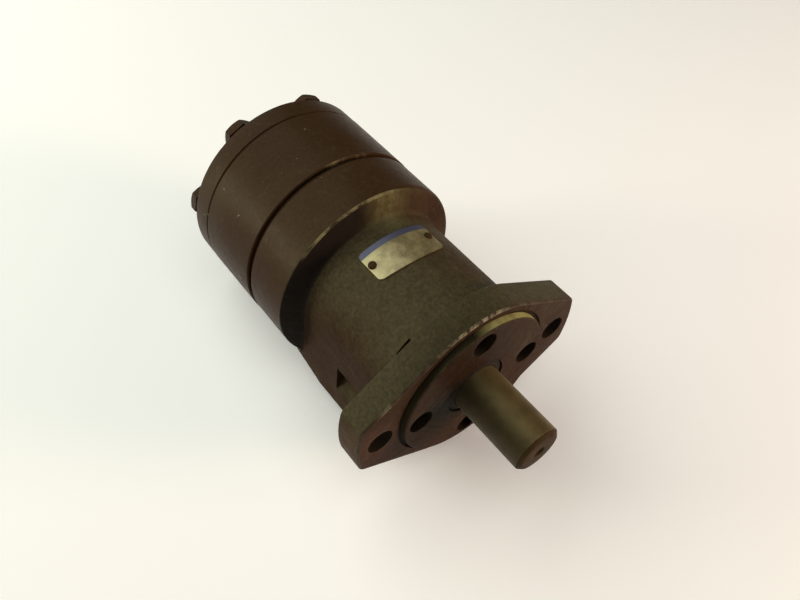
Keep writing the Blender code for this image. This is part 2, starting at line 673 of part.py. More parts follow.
def end_cap_bolts():
    """Hex bolts with a washer face, through the cap, ring and plate into the housing."""
    seat = CAP_SPAN[0] - GAP
    top = seat - BOLT_HEAD
    neck = BOLT_FLATS / 2 - 1.0
    bolt = turned([(BOLT_END, 0), (BOLT_END, BOLT_RADIUS), (seat, BOLT_RADIUS), (seat, BOLT_WASHER),
                   (seat - 0.8, BOLT_WASHER), (seat - 1.4, neck), (top + 1.0, neck), (top + 1.0, 0)], 14)
    corner = BOLT_FLATS / math.sqrt(3)
    bolt = fused(bolt, prism([around(6, corner)], (top, seat - 0.5)))
    for k, (y, z) in enumerate(around(ROLLERS, BOLT_CIRCLE, BOLT_PHASE)):
        flat_outward = BOLT_PHASE + 2 * math.pi * k / ROLLERS + math.pi / 6
        turn = Matrix.Rotation(flat_outward, 4, "X")
        one = moved(copied(bolt), Matrix.Translation(Vector((0, y, z)) * MM) @ turn)
        finished(one, f"end_cap_bolt_{k + 1}", "dark_steel", (0, y, z))
    bpy.data.objects.remove(bolt)


def radial(angle, radius):
    """A point above the neck, at an angle from +Z toward +Y, at the nameplate's middle."""
    return PLATE_X, radius * math.sin(angle), radius * math.cos(angle)


def nameplate():
    """A thin bare plate bent round the neck, held by two drive screws."""
    inner = NECK_RADIUS + GAP
    outer = inner + PLATE_THICK
    far, near = [math.pi / 2 - angle for angle in reversed(PLATE_ENDS)]
    outline = arc((0, 0), outer, far, near, 14) + arc((0, 0), inner, near, far, 14)
    half = PLATE_WIDTH / 2
    plate = prism([outline], (PLATE_X - half, PLATE_X + half))
    holes = [(radial(a, inner - 2), radial(a, outer + 2)) for a in PLATE_SCREWS]
    plate = cut(plate, rods(holes, PLATE_SCREW_RADIUS + GAP, 10))
    finished(plate, "nameplate", "plate")
    for k, angle in enumerate(PLATE_SCREWS):
        shank = rods([(radial(angle, PLATE_SCREW_END), radial(angle, outer + 1.0))], PLATE_SCREW_RADIUS, 10)
        head = rods([(radial(angle, outer + GAP), radial(angle, outer + 1.4))], PLATE_SCREW_HEAD, 12)
        finished(fused(head, shank), f"nameplate_screw_{k + 1}", "steel", radial(angle, outer))


def case_drain():
    """Plug and sealing washer on the far side of the port block."""
    x, z = DRAIN_CENTRE
    place = Matrix.Translation(Vector((x, 0, z)) * MM) @ Matrix.Rotation(math.pi / 2, 4, "Z")
    face = DRAIN_FACE + GAP
    thick = 1.2
    washer = moved(tube((face, face + thick), DRAIN_HOLE - 0.1, DRAIN_HEAD + 0.1, 24), place)
    finished(washer, "drain_washer", "plate", (x, face, z))
    seat = face + thick + GAP
    top = seat + 5.0
    tip = DRAIN_END + 1.0
    thread = DRAIN_HOLE - 0.4
    chamfer = 0.6
    plug = turned([(tip, 0), (tip, thread - chamfer), (tip + chamfer, thread), (seat, thread),
                   (seat, DRAIN_HEAD), (top - chamfer, DRAIN_HEAD), (top, DRAIN_HEAD - chamfer),
                   (top, 0)], 24)
    plug = cut(plug, prism([around(6, DRAIN_SOCKET)], (top - 4.0, top + 1.0)))
    finished(moved(plug, place), "drain_plug", "dark_steel", (x, seat, z))


def build():
    for obj in list(bpy.data.objects):
        bpy.data.objects.remove(obj)
    bpy.context.scene.collection.children.link(bpy.data.collections.new(COLLECTION))
    mounting_flange()
    flange_screws()
    housing()
    check_valves()
    output_shaft()
    seals_and_bearing()
    o_rings()
    gear_set()
    drive_link()
    plate_and_cap()
    end_cap_bolts()
    nameplate()
    case_drain()


build()
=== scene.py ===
import json
import math

import bpy
from mathutils import Matrix, Vector


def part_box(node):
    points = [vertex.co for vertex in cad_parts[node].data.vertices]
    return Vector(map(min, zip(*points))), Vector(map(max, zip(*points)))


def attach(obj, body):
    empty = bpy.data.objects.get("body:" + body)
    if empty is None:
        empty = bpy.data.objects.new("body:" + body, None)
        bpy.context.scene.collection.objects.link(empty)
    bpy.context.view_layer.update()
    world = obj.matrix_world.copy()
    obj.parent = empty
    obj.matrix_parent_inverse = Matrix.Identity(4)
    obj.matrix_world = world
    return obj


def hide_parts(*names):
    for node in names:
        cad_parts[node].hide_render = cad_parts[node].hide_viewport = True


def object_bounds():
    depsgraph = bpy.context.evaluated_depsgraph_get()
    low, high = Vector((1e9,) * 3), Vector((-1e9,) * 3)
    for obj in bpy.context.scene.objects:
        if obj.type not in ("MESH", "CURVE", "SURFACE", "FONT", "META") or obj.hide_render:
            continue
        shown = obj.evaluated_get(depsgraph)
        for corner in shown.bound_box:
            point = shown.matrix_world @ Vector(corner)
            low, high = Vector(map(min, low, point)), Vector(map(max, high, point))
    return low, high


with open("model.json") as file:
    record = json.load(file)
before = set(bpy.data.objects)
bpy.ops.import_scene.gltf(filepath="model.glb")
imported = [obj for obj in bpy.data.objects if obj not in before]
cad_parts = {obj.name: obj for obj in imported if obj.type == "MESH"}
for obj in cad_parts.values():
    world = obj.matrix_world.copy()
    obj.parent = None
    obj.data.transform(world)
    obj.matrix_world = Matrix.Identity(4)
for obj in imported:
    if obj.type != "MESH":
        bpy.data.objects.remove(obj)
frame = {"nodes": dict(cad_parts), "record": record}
cad_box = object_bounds()

# The shaft runs along +X, the ears lie along Y and the nameplate faces +Z.
# Sizes are millimetres until MM turns them to metres.
MM = 0.001
GAP = 0.3
ROUND = 160

# Flange
FLANGE_THICK = 15.2
FLANGE_RADIUS = 47.0
EAR_RADIUS = 65.5
EAR_CORNER = 5.6
EAR_SLOPE = math.radians(31.7)
EAR_BOLT_OFFSET = 53.2
EAR_BOLT_HOLE = 6.75
PILOT_RADIUS = 41.27
PILOT_HEIGHT = 3.0
RELIEF_RADIUS = 43.4
RELIEF_DEPTH = 1.0
SCREW_CIRCLE = 32.5
SCREW_COUNTERBORE = 6.5
SCREW_SEAT = -11.0
SCREW_HEAD = 8.0

# Shaft and seals
SHAFT_RADIUS = 12.5
SHAFT_END = 45.3
SHAFT_CHAMFER = 1.9
SPOOL_RADIUS = 18.0
SPOOL_FRONT = -22.8
SPOOL_REAR = -100.0
SPOOL_GROOVES = (-40.0, -92.0)
SLOT_REACH = (-79.0, -74.0)
SPOOL_SLOTS = 6
SEAL_BORE = 18.5
DUST_BORE = 16.5

# Casting
NECK_FRONT = -15.5
NECK_RADIUS = 41.0
DRUM_RADIUS = 53.4
DRUM_FRONT = -81.0
DRUM_REAR = -108.6
SHOULDER_FOOT = -77.3
SHOULDER_FILLET = 3.0
RIM_ROUND = (0.7, 3.6)
BLOCK_FRONT = -22.0
BLOCK_REAR = -86.5
BLOCK_FLOOR = 46.0
BLOCK_HALF_WIDTH = 43.2
BLOCK_CORNER = 2.4
BLOCK_DRAFT = math.radians(2.9)
BLOCK_SQUARENESS = 90.0
TRIM_START = -64.0
TRIM_RISE = 0.31
PORT_PLACES = ((-45.0, 19.0), (-66.0, -19.0))
PORT_RADIUS = 10.3
PORT_DEPTH = 16.0
POCKET_PLACE = (47.5, -20.5)
POCKET_RADIUS = 10.0
POCKET_REAR = -49.4
SLIT_ANGLE = math.radians(133.5)
SLIT_RADIUS = 6.4
SLIT_DEPTH = 2.5
SLIT_REAR = -19.0
BEARING_BORE = 24.0
BEARING_SEAT = -26.0

# Gear set, end cap and bolts
PLATE_RADIUS = 51.6
RING_RADIUS = 53.7
CAP_RADIUS = 53.5
LOBES = 7
ROLLER_CIRCLE = 30.0
ROLLER_POCKET = 7.1
RING_BORE = 29.2
BOLT_CIRCLE = 45.5
BOLT_PHASE = math.radians(115.3)
ROLLER_PHASE = BOLT_PHASE + math.pi / LOBES
BOLT_RADIUS = 4.0
BOLT_HOLE = 4.3
BOLT_END = -90.0
BOLT_FLATS = 16.0
BOLT_HEAD = 5.5
BOLT_WASHER = 7.6

# Nameplate
PLATE_X = -57.7
PLATE_WIDTH = 17.6
PLATE_ENDS = (math.radians(-25.5), math.radians(28.3))
PLATE_SCREWS = (math.radians(-22.3), math.radians(23.9))
PLATE_THICK = 0.5
PLATE_BULGE = 2.0

# Case drain
DRAIN_X = -68.0
DRAIN_Z = -28.0
DRAIN_FACE = 42.0


# Modelling helpers


def alone(obj):
    """Select one object and nothing else."""
    bpy.ops.object.select_all(action="DESELECT")
    obj.select_set(True)
    bpy.context.view_layer.objects.active = obj
    return obj


def span(node):
    """A solid's rear and front ends along the shaft."""
    low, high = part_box(node)
    return low.x / MM, high.x / MM


def circle_of(count, radius, phase=0.0):
    """Places (y, z) spaced evenly round the shaft's axis."""
    angles = [phase + 2 * math.pi * k / count for k in range(count)]
    return [(radius * math.cos(a), radius * math.sin(a)) for a in angles]


def arc(centre, radius, start, end, steps):
    """Points along an arc, both ends included."""
    angles = [start + (end - start) * k / steps for k in range(steps + 1)]
    return [(centre[0] + radius * math.cos(a), centre[1] + radius * math.sin(a)) for a in angles]


def turned(name, profile, steps=ROUND, ring=False):
    """A round piece about the shaft's axis: a circle that is extruded and scaled along (x, radius) points."""
    bpy.ops.object.select_all(action="DESELECT")
    x, radius = profile[0]
    bpy.ops.mesh.primitive_circle_add(
        vertices=steps, radius=radius * MM, fill_type="NOTHING" if ring else "NGON",
        location=(x * MM, 0, 0), rotation=(0, math.pi / 2, 0))
    obj = bpy.context.object
    obj.name = name
    bpy.ops.object.transform_apply(location=True, rotation=True, scale=True)
    bpy.ops.object.mode_set(mode="EDIT")
    bpy.ops.mesh.select_all(action="SELECT")
    around = profile[1:] + profile[:1] if ring else profile[1:]
    for next_x, next_radius in around:
        bpy.ops.mesh.extrude_region_move(TRANSFORM_OT_translate={"value": ((next_x - x) * MM, 0, 0)})
        grow = next_radius / radius
        bpy.ops.transform.resize(value=(1, grow, grow), center_override=(next_x * MM, 0, 0))
        x, radius = next_x, next_radius
    bpy.ops.mesh.select_all(action="SELECT")
    bpy.ops.mesh.remove_doubles(threshold=0.002 * MM)
    bpy.ops.mesh.normals_make_consistent(inside=False)
    bpy.ops.object.mode_set(mode="OBJECT")
    return obj


def plate(name, outline, front, rear):
    """A flat piece: a disc whose rim is moved onto an outline of (y, z) points, then extruded along X."""
    bpy.ops.object.select_all(action="DESELECT")
    bpy.ops.mesh.primitive_circle_add(vertices=len(outline), radius=MM, fill_type="NGON")
    obj = bpy.context.object
    obj.name = name
    for point, (y, z) in zip(obj.data.vertices, outline):
        point.co = (front * MM, y * MM, z * MM)
    bpy.ops.object.mode_set(mode="EDIT")
    bpy.ops.mesh.select_all(action="SELECT")
    bpy.ops.mesh.extrude_region_move(TRANSFORM_OT_translate={"value": ((rear - front) * MM, 0, 0)})
    bpy.ops.mesh.select_all(action="SELECT")
    bpy.ops.mesh.normals_make_consistent(inside=False)
    bpy.ops.object.mode_set(mode="OBJECT")
    return obj


def joined(objs):
    bpy.ops.object.select_all(action="DESELECT")
    for obj in objs:
        obj.select_set(True)
    bpy.context.view_layer.objects.active = objs[0]
    bpy.ops.object.join()
    bpy.ops.object.transform_apply(location=True, rotation=True, scale=True)
    return objs[0]


def rods(places, rear, front, radius, sides=48):
    """Cylinders along X at (y, z) places, as one object."""
    made = []
    for y, z in places:
        bpy.ops.object.select_all(action="DESELECT")
        bpy.ops.mesh.primitive_cylinder_add(
            vertices=sides, radius=radius * MM, depth=(front - rear) * MM,
            location=((front + rear) / 2 * MM, y * MM, z * MM), rotation=(0, math.pi / 2, 0))
        made.append(bpy.context.object)
    return joined(made)


def block(low, high):
    """A box between two corners."""
    bpy.ops.object.select_all(action="DESELECT")
    size = [(b - a) * MM for a, b in zip(low, high)]
    centre = [(a + b) / 2 * MM for a, b in zip(low, high)]
    bpy.ops.mesh.primitive_cube_add(size=1, location=centre, scale=size)
    bpy.ops.object.transform_apply(location=True, rotation=True, scale=True)
    return bpy.context.object


def combined(obj, other, operation="DIFFERENCE"):
    """Cut the other object out of this one, join it on or keep what they share."""
    modifier = alone(obj).modifiers.new("combine", "BOOLEAN")
    modifier.object = other
    modifier.operation = operation
    modifier.solver = "EXACT"
    bpy.ops.object.modifier_apply(modifier=modifier.name)
    bpy.data.objects.remove(other)
    return obj


def eased(obj, width, segments=2, material=-1):
    """Round off the edges, and give the rounding its own material slot if one is named."""
    modifier = alone(obj).modifiers.new("ease", "BEVEL")
    modifier.width = width * MM
    modifier.segments = segments
    modifier.limit_method = "ANGLE"
    modifier.angle_limit = math.radians(40)
    modifier.harden_normals = False
    modifier.material = material
    bpy.ops.object.modifier_apply(modifier=modifier.name)
    return obj


def copied(obj, name, matrix):
    """A copy with its own mesh, placed in that mesh."""
    twin = obj.copy()
    twin.data = obj.data.copy()
    twin.name = name
    bpy.context.scene.collection.objects.link(twin)
    twin.data.transform(matrix)
    return twin


def shown(obj, body, slot, nodes, *materials):
    """Finish a piece: shading, materials, the body it rides on and the solids it stands for."""
    alone(obj)
    bpy.ops.object.shade_smooth_by_angle(angle=math.radians(32))
    for material in materials:
        obj.data.materials.append(material)
    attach(obj, body)
    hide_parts(*nodes)
    return obj


# Materials


def colour(text):
    """An sRGB hex colour as linear values."""
    channels = [int(text[k:k + 2], 16) / 255 for k in (1, 3, 5)]
    return (*[c / 12.92 if c <= 0.04045 else ((c + 0.055) / 1.055) ** 2.4 for c in channels], 1.0)


def node(tree, kind, settings=None, links=None):
    """Add a node, set its values and link its inputs. An input is named, or numbered where names repeat."""
    made = tree.nodes.new(kind)
    for key, value in (settings or {}).items():
        if isinstance(key, int) or key in made.inputs:
            made.inputs[key].default_value = value
        else:
            setattr(made, key, value)
    for key, source in (links or {}).items():
        tree.links.new(source, made.inputs[key])
    return made


def per_metre(size):
    """A texture's scale for features of about this many millimetres."""
    return 1 / (size * MM)


def fresh(name):
    material = bpy.data.materials.new(name)
    material.use_nodes = True
    tree = material.node_tree
    return material, tree, tree.nodes["Principled BSDF"]


def oily_paint(name, grain, flecks, depth, chips, film, shine, dust, olive, rims=(), patches=(), darkened=False):
    """Red-brown enamel on iron, filmed with old oil and dust.

    The eye sees a dull brown, olive where dust settled on what faces up, dark in the pits of the casting and
    pale where it is chipped. grain is the size of the bumps, flecks how much they differ in tone, depth how much
    they stand out, chips how much is bare, film how much the oil reflects, shine its roughness, dust how much has
    settled and olive its colour. rims are edges streaked pale, with worn paint and a painted highlight, patches are
    places tinted one colour, most of them painted shade or painted light, and the last flag says whether the near
    half of the shoulder gets painted shade, near black.
    """
    material, tree, shader = fresh(name)
    place = node(tree, "ShaderNodeTexCoord")
    at = place.outputs["Object"]
    settling = node(tree, "ShaderNodeTexNoise", {"Scale": per_metre(38), "Detail": 3.0, "Roughness": 0.55}, {"Vector": at})
    upward = node(tree, "ShaderNodeVectorMath", {"operation": "DOT_PRODUCT", 1: (0.0, -0.2, 0.98)},
                  {0: place.outputs["Normal"]})
    facing = node(tree, "ShaderNodeMapRange", {"From Min": 0.15, "From Max": 0.85, "To Max": dust},
                  {"Value": upward.outputs["Value"]})
    settled = node(tree, "ShaderNodeMath", {"operation": "MULTIPLY_ADD", 1: 0.9}, {0: settling.outputs["Fac"], 2: facing.outputs["Result"]})
    patch = node(tree, "ShaderNodeMapRange", {"From Min": 0.45, "From Max": 1.15}, {"Value": settled.outputs["Value"]})
    body = node(tree, "ShaderNodeMix", {"data_type": "RGBA", 6: colour("#342113"), 7: colour(olive)},
                {0: patch.outputs["Result"]})
    grit = node(tree, "ShaderNodeTexNoise", {"Scale": per_metre(grain), "Detail": 5.0, "Roughness": 0.62}, {"Vector": at})
    dirt = node(tree, "ShaderNodeMapRange", {"From Min": 0.36, "From Max": 0.66, "To Min": 1.0 - 0.7 * flecks, "To Max": 1.0 + flecks},
                {"Value": grit.outputs["Fac"]})
    grimed = node(tree, "ShaderNodeMix", {"data_type": "RGBA", "blend_type": "MULTIPLY", 0: 1.0},
                  {6: body.outputs[2], 7: dirt.outputs["Result"]})
    # Pale dust caught in the texture
    specks = node(tree, "ShaderNodeTexNoise", {"Scale": per_metre(3.2), "Detail": 8.0, "Roughness": 0.7}, {"Vector": at})
    dusty = node(tree, "ShaderNodeMapRange", {"From Min": 0.56, "From Max": 0.74, "To Max": 0.15 + 0.6 * flecks},
                 {"Value": specks.outputs["Fac"]})
    dusted = node(tree, "ShaderNodeMix", {"data_type": "RGBA", 7: colour("#6a5d40")},
                  {0: dusty.outputs["Result"], 6: grimed.outputs[2]})
    # Chips down to the iron
    flakes = node(tree, "ShaderNodeTexNoise", {"Scale": per_metre(5.5), "Detail": 6.0, "Roughness": 0.66}, {"Vector": at})
    bare = node(tree, "ShaderNodeMapRange", {"From Min": 0.74 - chips, "From Max": 0.77 - chips},
                {"Value": flakes.outputs["Fac"]}).outputs["Result"]
    coat = dusted.outputs[2]
    for patch in patches:
        coat = blotched(tree, at, coat, *patch)
    # Painted shade: the near half of the shoulder's face goes near black
    if darkened:
        coat = shaded_shoulder(tree, place, coat)
    # Pale streaks on rims: worn paint and painted highlight
    for rim in rims:
        coat = rubbed_and_highlit_rim(tree, at, coat, *rim)
    painted = node(tree, "ShaderNodeMix", {"data_type": "RGBA", 7: colour("#8f8768")}, {0: bare, 6: coat})
    tree.links.new(painted.outputs[2], shader.inputs["Base Color"])
    shader.inputs["Specular IOR Level"].default_value = film
    shader.inputs["Specular Tint"].default_value = colour("#f4e0c0")
    gloss = node(tree, "ShaderNodeMapRange", {"From Min": 0.3, "From Max": 0.7, "To Min": shine - 0.06, "To Max": shine + 0.1},
                {"Value": specks.outputs["Fac"]})
    tree.links.new(gloss.outputs["Result"], shader.inputs["Roughness"])
    metal = node(tree, "ShaderNodeMath", {"operation": "MULTIPLY", 1: 0.7}, {0: bare})
    tree.links.new(metal.outputs["Value"], shader.inputs["Metallic"])
    dents = node(tree, "ShaderNodeTexNoise", {"Scale": per_metre(9), "Detail": 2.0}, {"Vector": at})
    height = node(tree, "ShaderNodeMath", {"operation": "MULTIPLY_ADD", 1: 2.5},
                  {0: dents.outputs["Fac"], 2: grit.outputs["Fac"]})
    bump = node(tree, "ShaderNodeBump", {"Strength": 1.0, "Distance": depth * MM}, {"Height": height.outputs["Value"]})
    tree.links.new(bump.outputs["Normal"], shader.inputs["Normal"])
    return material


def blotched(tree, at, coat, middle, reach, tint, share, size=5.0, least=0.5):
    """Tint a coat round one place, in blotches of one size with no less than a least share between them."""
    away = node(tree, "ShaderNodeVectorMath", {"operation": "DISTANCE", 1: [v * MM for v in middle]}, {0: at})
    close = node(tree, "ShaderNodeMapRange", {"From Min": reach * MM, "From Max": reach * MM * 0.35, "To Max": share},
                 {"Value": away.outputs["Value"]})
    blots = node(tree, "ShaderNodeTexNoise", {"Scale": per_metre(size), "Detail": 7.0, "Roughness": 0.65}, {"Vector": at})
    ragged = node(tree, "ShaderNodeMapRange", {"From Min": 0.4, "From Max": 0.58, "To Min": least},
                  {"Value": blots.outputs["Fac"]})
    amount = node(tree, "ShaderNodeMath", {"operation": "MULTIPLY"}, {0: close.outputs["Result"], 1: ragged.outputs["Result"]})
    return node(tree, "ShaderNodeMix", {"data_type": "RGBA", 7: colour(tint)},
                {0: amount.outputs["Value"], 6: coat}).outputs[2]


def shaded_shoulder(tree, place, coat):
    """Painted shade: blacken the near half of the face where the drum steps down to the neck, which lies in shadow."""
    at = node(tree, "ShaderNodeSeparateXYZ", {}, {"Vector": place.outputs["Object"]})
    facing = node(tree, "ShaderNodeSeparateXYZ", {}, {"Vector": place.outputs["Normal"]})
    step = node(tree, "ShaderNodeMapRange", {"From Min": 0.3, "From Max": 0.7, "To Max": 0.88}, {"Value": facing.outputs["X"]})
    side = node(tree, "ShaderNodeMapRange", {"From Min": 5 * MM, "From Max": -9 * MM}, {"Value": at.outputs["Y"]})
    back = node(tree, "ShaderNodeMapRange", {"From Min": -60 * MM, "From Max": -70 * MM}, {"Value": at.outputs["X"]})
    near = node(tree, "ShaderNodeMath", {"operation": "MULTIPLY"}, {0: side.outputs["Result"], 1: back.outputs["Result"]})
    black = node(tree, "ShaderNodeMath", {"operation": "MULTIPLY"}, {0: near.outputs["Value"], 1: step.outputs["Result"]})
    # Near-black of the painted shade
    return node(tree, "ShaderNodeMix", {"data_type": "RGBA", 7: colour("#1f1b19")},
                {0: black.outputs["Value"], 6: coat}).outputs[2]


def rubbed_and_highlit_rim(tree, at, coat, rim_x, middle, reach, share):
    """Streak the rim at rim_x pale, as far as reach from middle across the motor: worn paint that is also a painted
    highlight on the shoulder's edge, and a painted highlight alone on the groove's far wall.
    """
    place = node(tree, "ShaderNodeSeparateXYZ", {}, {"Vector": at})
    along = node(tree, "ShaderNodeMath", {"operation": "COMPARE", 1: rim_x * MM, 2: 0.4 * MM}, {0: place.outputs["X"]})
    off = node(tree, "ShaderNodeMath", {"operation": "SUBTRACT", 1: middle * MM}, {0: place.outputs["Y"]})
    aside = node(tree, "ShaderNodeMath", {"operation": "ABSOLUTE"}, {0: off.outputs["Value"]})
    near = node(tree, "ShaderNodeMapRange", {"From Min": reach * MM, "From Max": (reach - 7) * MM, "To Max": share},
                {"Value": aside.outputs["Value"]})
    streaks = node(tree, "ShaderNodeTexNoise", {"Scale": per_metre(8), "Detail": 5.0, "Roughness": 0.6}, {"Vector": at})
    worn = node(tree, "ShaderNodeMapRange", {"From Min": 0.44, "From Max": 0.6, "To Min": 0.1},
                {"Value": streaks.outputs["Fac"]})
    streak = node(tree, "ShaderNodeMath", {"operation": "MULTIPLY"}, {0: near.outputs["Result"], 1: worn.outputs["Result"]})
    pale_share = node(tree, "ShaderNodeMath", {"operation": "MULTIPLY"}, {0: streak.outputs["Value"], 1: along.outputs["Value"]})
    # Pale streak colour: worn paint and painted highlight
    return node(tree, "ShaderNodeMix", {"data_type": "RGBA", 7: colour("#8f8763")},
                {0: pale_share.outputs["Value"], 6: coat}).outputs[2]


def rubbed_and_highlit_edge(bright_places):
    """Edges of the flange, rubbed through the paint in places to dull iron with brown oil in it.

    The bright places listed are a spot knocked bright at the near ear and a streak along the top of the front edge that
    is partly rubbed iron and partly a painted highlight.
    """
    material, tree, shader = fresh("rubbed_and_highlit_edge")
    at = node(tree, "ShaderNodeTexCoord").outputs["Object"]
    patchy = node(tree, "ShaderNodeTexNoise", {"Scale": per_metre(7), "Detail": 6.0, "Roughness": 0.65}, {"Vector": at})
    worn = node(tree, "ShaderNodeMapRange", {"From Min": 0.5, "From Max": 0.66, "To Max": 0.35},
                {"Value": patchy.outputs["Fac"]})
    coat = node(tree, "ShaderNodeMix", {"data_type": "RGBA", 6: colour("#382c20"), 7: colour("#6b6149")},
                {0: worn.outputs["Result"]}).outputs[2]
    for bright_place in bright_places:
        coat = blotched(tree, at, coat, *bright_place)
    tree.links.new(coat, shader.inputs["Base Color"])
    shader.inputs["Specular IOR Level"].default_value = 0.1
    shader.inputs["Roughness"].default_value = 0.55
    return material


def oiled_steel(name, shade, stain, roughness, metallic=0.5, shaded=None, fade=(0.68, 0.86, 0.75)):
    """Turned steel under a brown oil film: fine rings round the axis, with darker stains.

    shaded is the side painted dark as painted shade, and fade where it starts, where it is full and how dark it is.
    """
    material, tree, shader = fresh(name)
    place = node(tree, "ShaderNodeTexCoord")
    at = place.outputs["Object"]
    stretched = node(tree, "ShaderNodeMapping", {"Scale": (per_metre(0.45), per_metre(60), per_metre(60))}, {"Vector": at})
    rings = node(tree, "ShaderNodeTexNoise", {"Scale": 1.0, "Detail": 3.0, "Roughness": 0.6},
                 {"Vector": stretched.outputs["Vector"]})
    blots = node(tree, "ShaderNodeTexNoise", {"Scale": per_metre(9), "Detail": 5.0, "Roughness": 0.6}, {"Vector": at})
    blot = node(tree, "ShaderNodeMapRange", {"From Min": 0.42, "From Max": 0.66}, {"Value": blots.outputs["Fac"]})
    mixed = node(tree, "ShaderNodeMix", {"data_type": "RGBA", 6: colour(shade), 7: colour(stain)}, {0: blot.outputs["Result"]})
    steel_colour = mixed.outputs[2]
    if shaded is not None:
        # Painted shade: the shaded side darkens towards brown-black
        side = node(tree, "ShaderNodeVectorMath", {"operation": "DOT_PRODUCT", 1: shaded}, {0: place.outputs["Normal"]})
        shade_share = node(tree, "ShaderNodeMapRange", {"From Min": fade[0], "From Max": fade[1], "To Max": fade[2]},
                     {"Value": side.outputs["Value"]})
        steel_colour = node(tree, "ShaderNodeMix", {"data_type": "RGBA", 7: colour("#2c2418")},
                     {0: shade_share.outputs["Result"], 6: steel_colour}).outputs[2]
    tree.links.new(steel_colour, shader.inputs["Base Color"])
    shader.inputs["Metallic"].default_value = metallic
    shader.inputs["Specular IOR Level"].default_value = 0.4 * metallic
    rough = node(tree, "ShaderNodeMapRange", {"To Min": roughness - 0.08, "To Max": roughness + 0.12},
                 {"Value": blots.outputs["Fac"]})
    tree.links.new(rough.outputs["Result"], shader.inputs["Roughness"])
    bump = node(tree, "ShaderNodeBump", {"Strength": 0.5, "Distance": 0.03 * MM}, {"Height": rings.outputs["Fac"]})
    tree.links.new(bump.outputs["Normal"], shader.inputs["Normal"])
    return material


def blacked_steel():
    """Screws and bolts with a black oxide finish, oily, browned where dust stuck."""
    material, tree, shader = fresh("blacked_steel")
    at = node(tree, "ShaderNodeTexCoord").outputs["Object"]
    dust = node(tree, "ShaderNodeTexNoise", {"Scale": per_metre(2.5), "Detail": 6.0}, {"Vector": at})
    stuck = node(tree, "ShaderNodeMapRange", {"From Min": 0.45, "From Max": 0.7}, {"Value": dust.outputs["Fac"]})
    mixed = node(tree, "ShaderNodeMix", {"data_type": "RGBA", 6: colour("#241f1a"), 7: colour("#43372a")},
                 {0: stuck.outputs["Result"]})
    tree.links.new(mixed.outputs[2], shader.inputs["Base Color"])
    shader.inputs["Metallic"].default_value = 0.5
    shader.inputs["Roughness"].default_value = 0.5
    bump = node(tree, "ShaderNodeBump", {"Strength": 0.6, "Distance": 0.08 * MM}, {"Height": dust.outputs["Fac"]})
    tree.links.new(bump.outputs["Normal"], shader.inputs["Normal"])
    return material


def painted_recess_shade():
    """Painted shade for recesses: matt brown-black on the walls of the flange's holes and the floor of the pilot's
    relief groove, where shade falls.
    """
    material, tree, shader = fresh("painted_recess_shade")
    at = node(tree, "ShaderNodeTexCoord").outputs["Object"]
    lumps = node(tree, "ShaderNodeTexNoise", {"Scale": per_metre(2.0), "Detail": 5.0}, {"Vector": at})
    mixed = node(tree, "ShaderNodeMix", {"data_type": "RGBA", 6: colour("#18110b"), 7: colour("#2e2116")},
                 {0: lumps.outputs["Fac"]})
    tree.links.new(mixed.outputs[2], shader.inputs["Base Color"])
    shader.inputs["Specular IOR Level"].default_value = 0.1
    shader.inputs["Roughness"].default_value = 0.8
    bump = node(tree, "ShaderNodeBump", {"Strength": 0.5, "Distance": 0.15 * MM}, {"Height": lumps.outputs["Fac"]})
    tree.links.new(bump.outputs["Normal"], shader.inputs["Normal"])
    return material


def sooty_rubber():
    """Nitrile rubber, matt black with grey dust in its pores."""
    material, tree, shader = fresh("sooty_rubber")
    at = node(tree, "ShaderNodeTexCoord").outputs["Object"]
    pores = node(tree, "ShaderNodeTexNoise", {"Scale": per_metre(1.0), "Detail": 4.0}, {"Vector": at})
    mixed = node(tree, "ShaderNodeMix", {"data_type": "RGBA", 6: colour("#14100c"), 7: colour("#2e241b")},
                 {0: pores.outputs["Fac"]})
    tree.links.new(mixed.outputs[2], shader.inputs["Base Color"])
    shader.inputs["Specular IOR Level"].default_value = 0.15
    shader.inputs["Roughness"].default_value = 0.75
    bump = node(tree, "ShaderNodeBump", {"Strength": 0.4, "Distance": 0.05 * MM}, {"Height": pores.outputs["Fac"]})
    tree.links.new(bump.outputs["Normal"], shader.inputs["Normal"])
    return material


def ground_steel():
    """Ground bearing steel of the inner pieces, bright under a thin oil film."""
    material, tree, shader = fresh("ground_steel")
    at = node(tree, "ShaderNodeTexCoord").outputs["Object"]
    lines = node(tree, "ShaderNodeTexNoise", {"Scale": per_metre(0.8), "Detail": 3.0}, {"Vector": at})
    mixed = node(tree, "ShaderNodeMix", {"data_type": "RGBA", 6: colour("#8d8b86"), 7: colour("#a9a7a0")},
                 {0: lines.outputs["Fac"]})
    tree.links.new(mixed.outputs[2], shader.inputs["Base Color"])
    shader.inputs["Metallic"].default_value = 1.0
    shader.inputs["Roughness"].default_value = 0.3
    return material


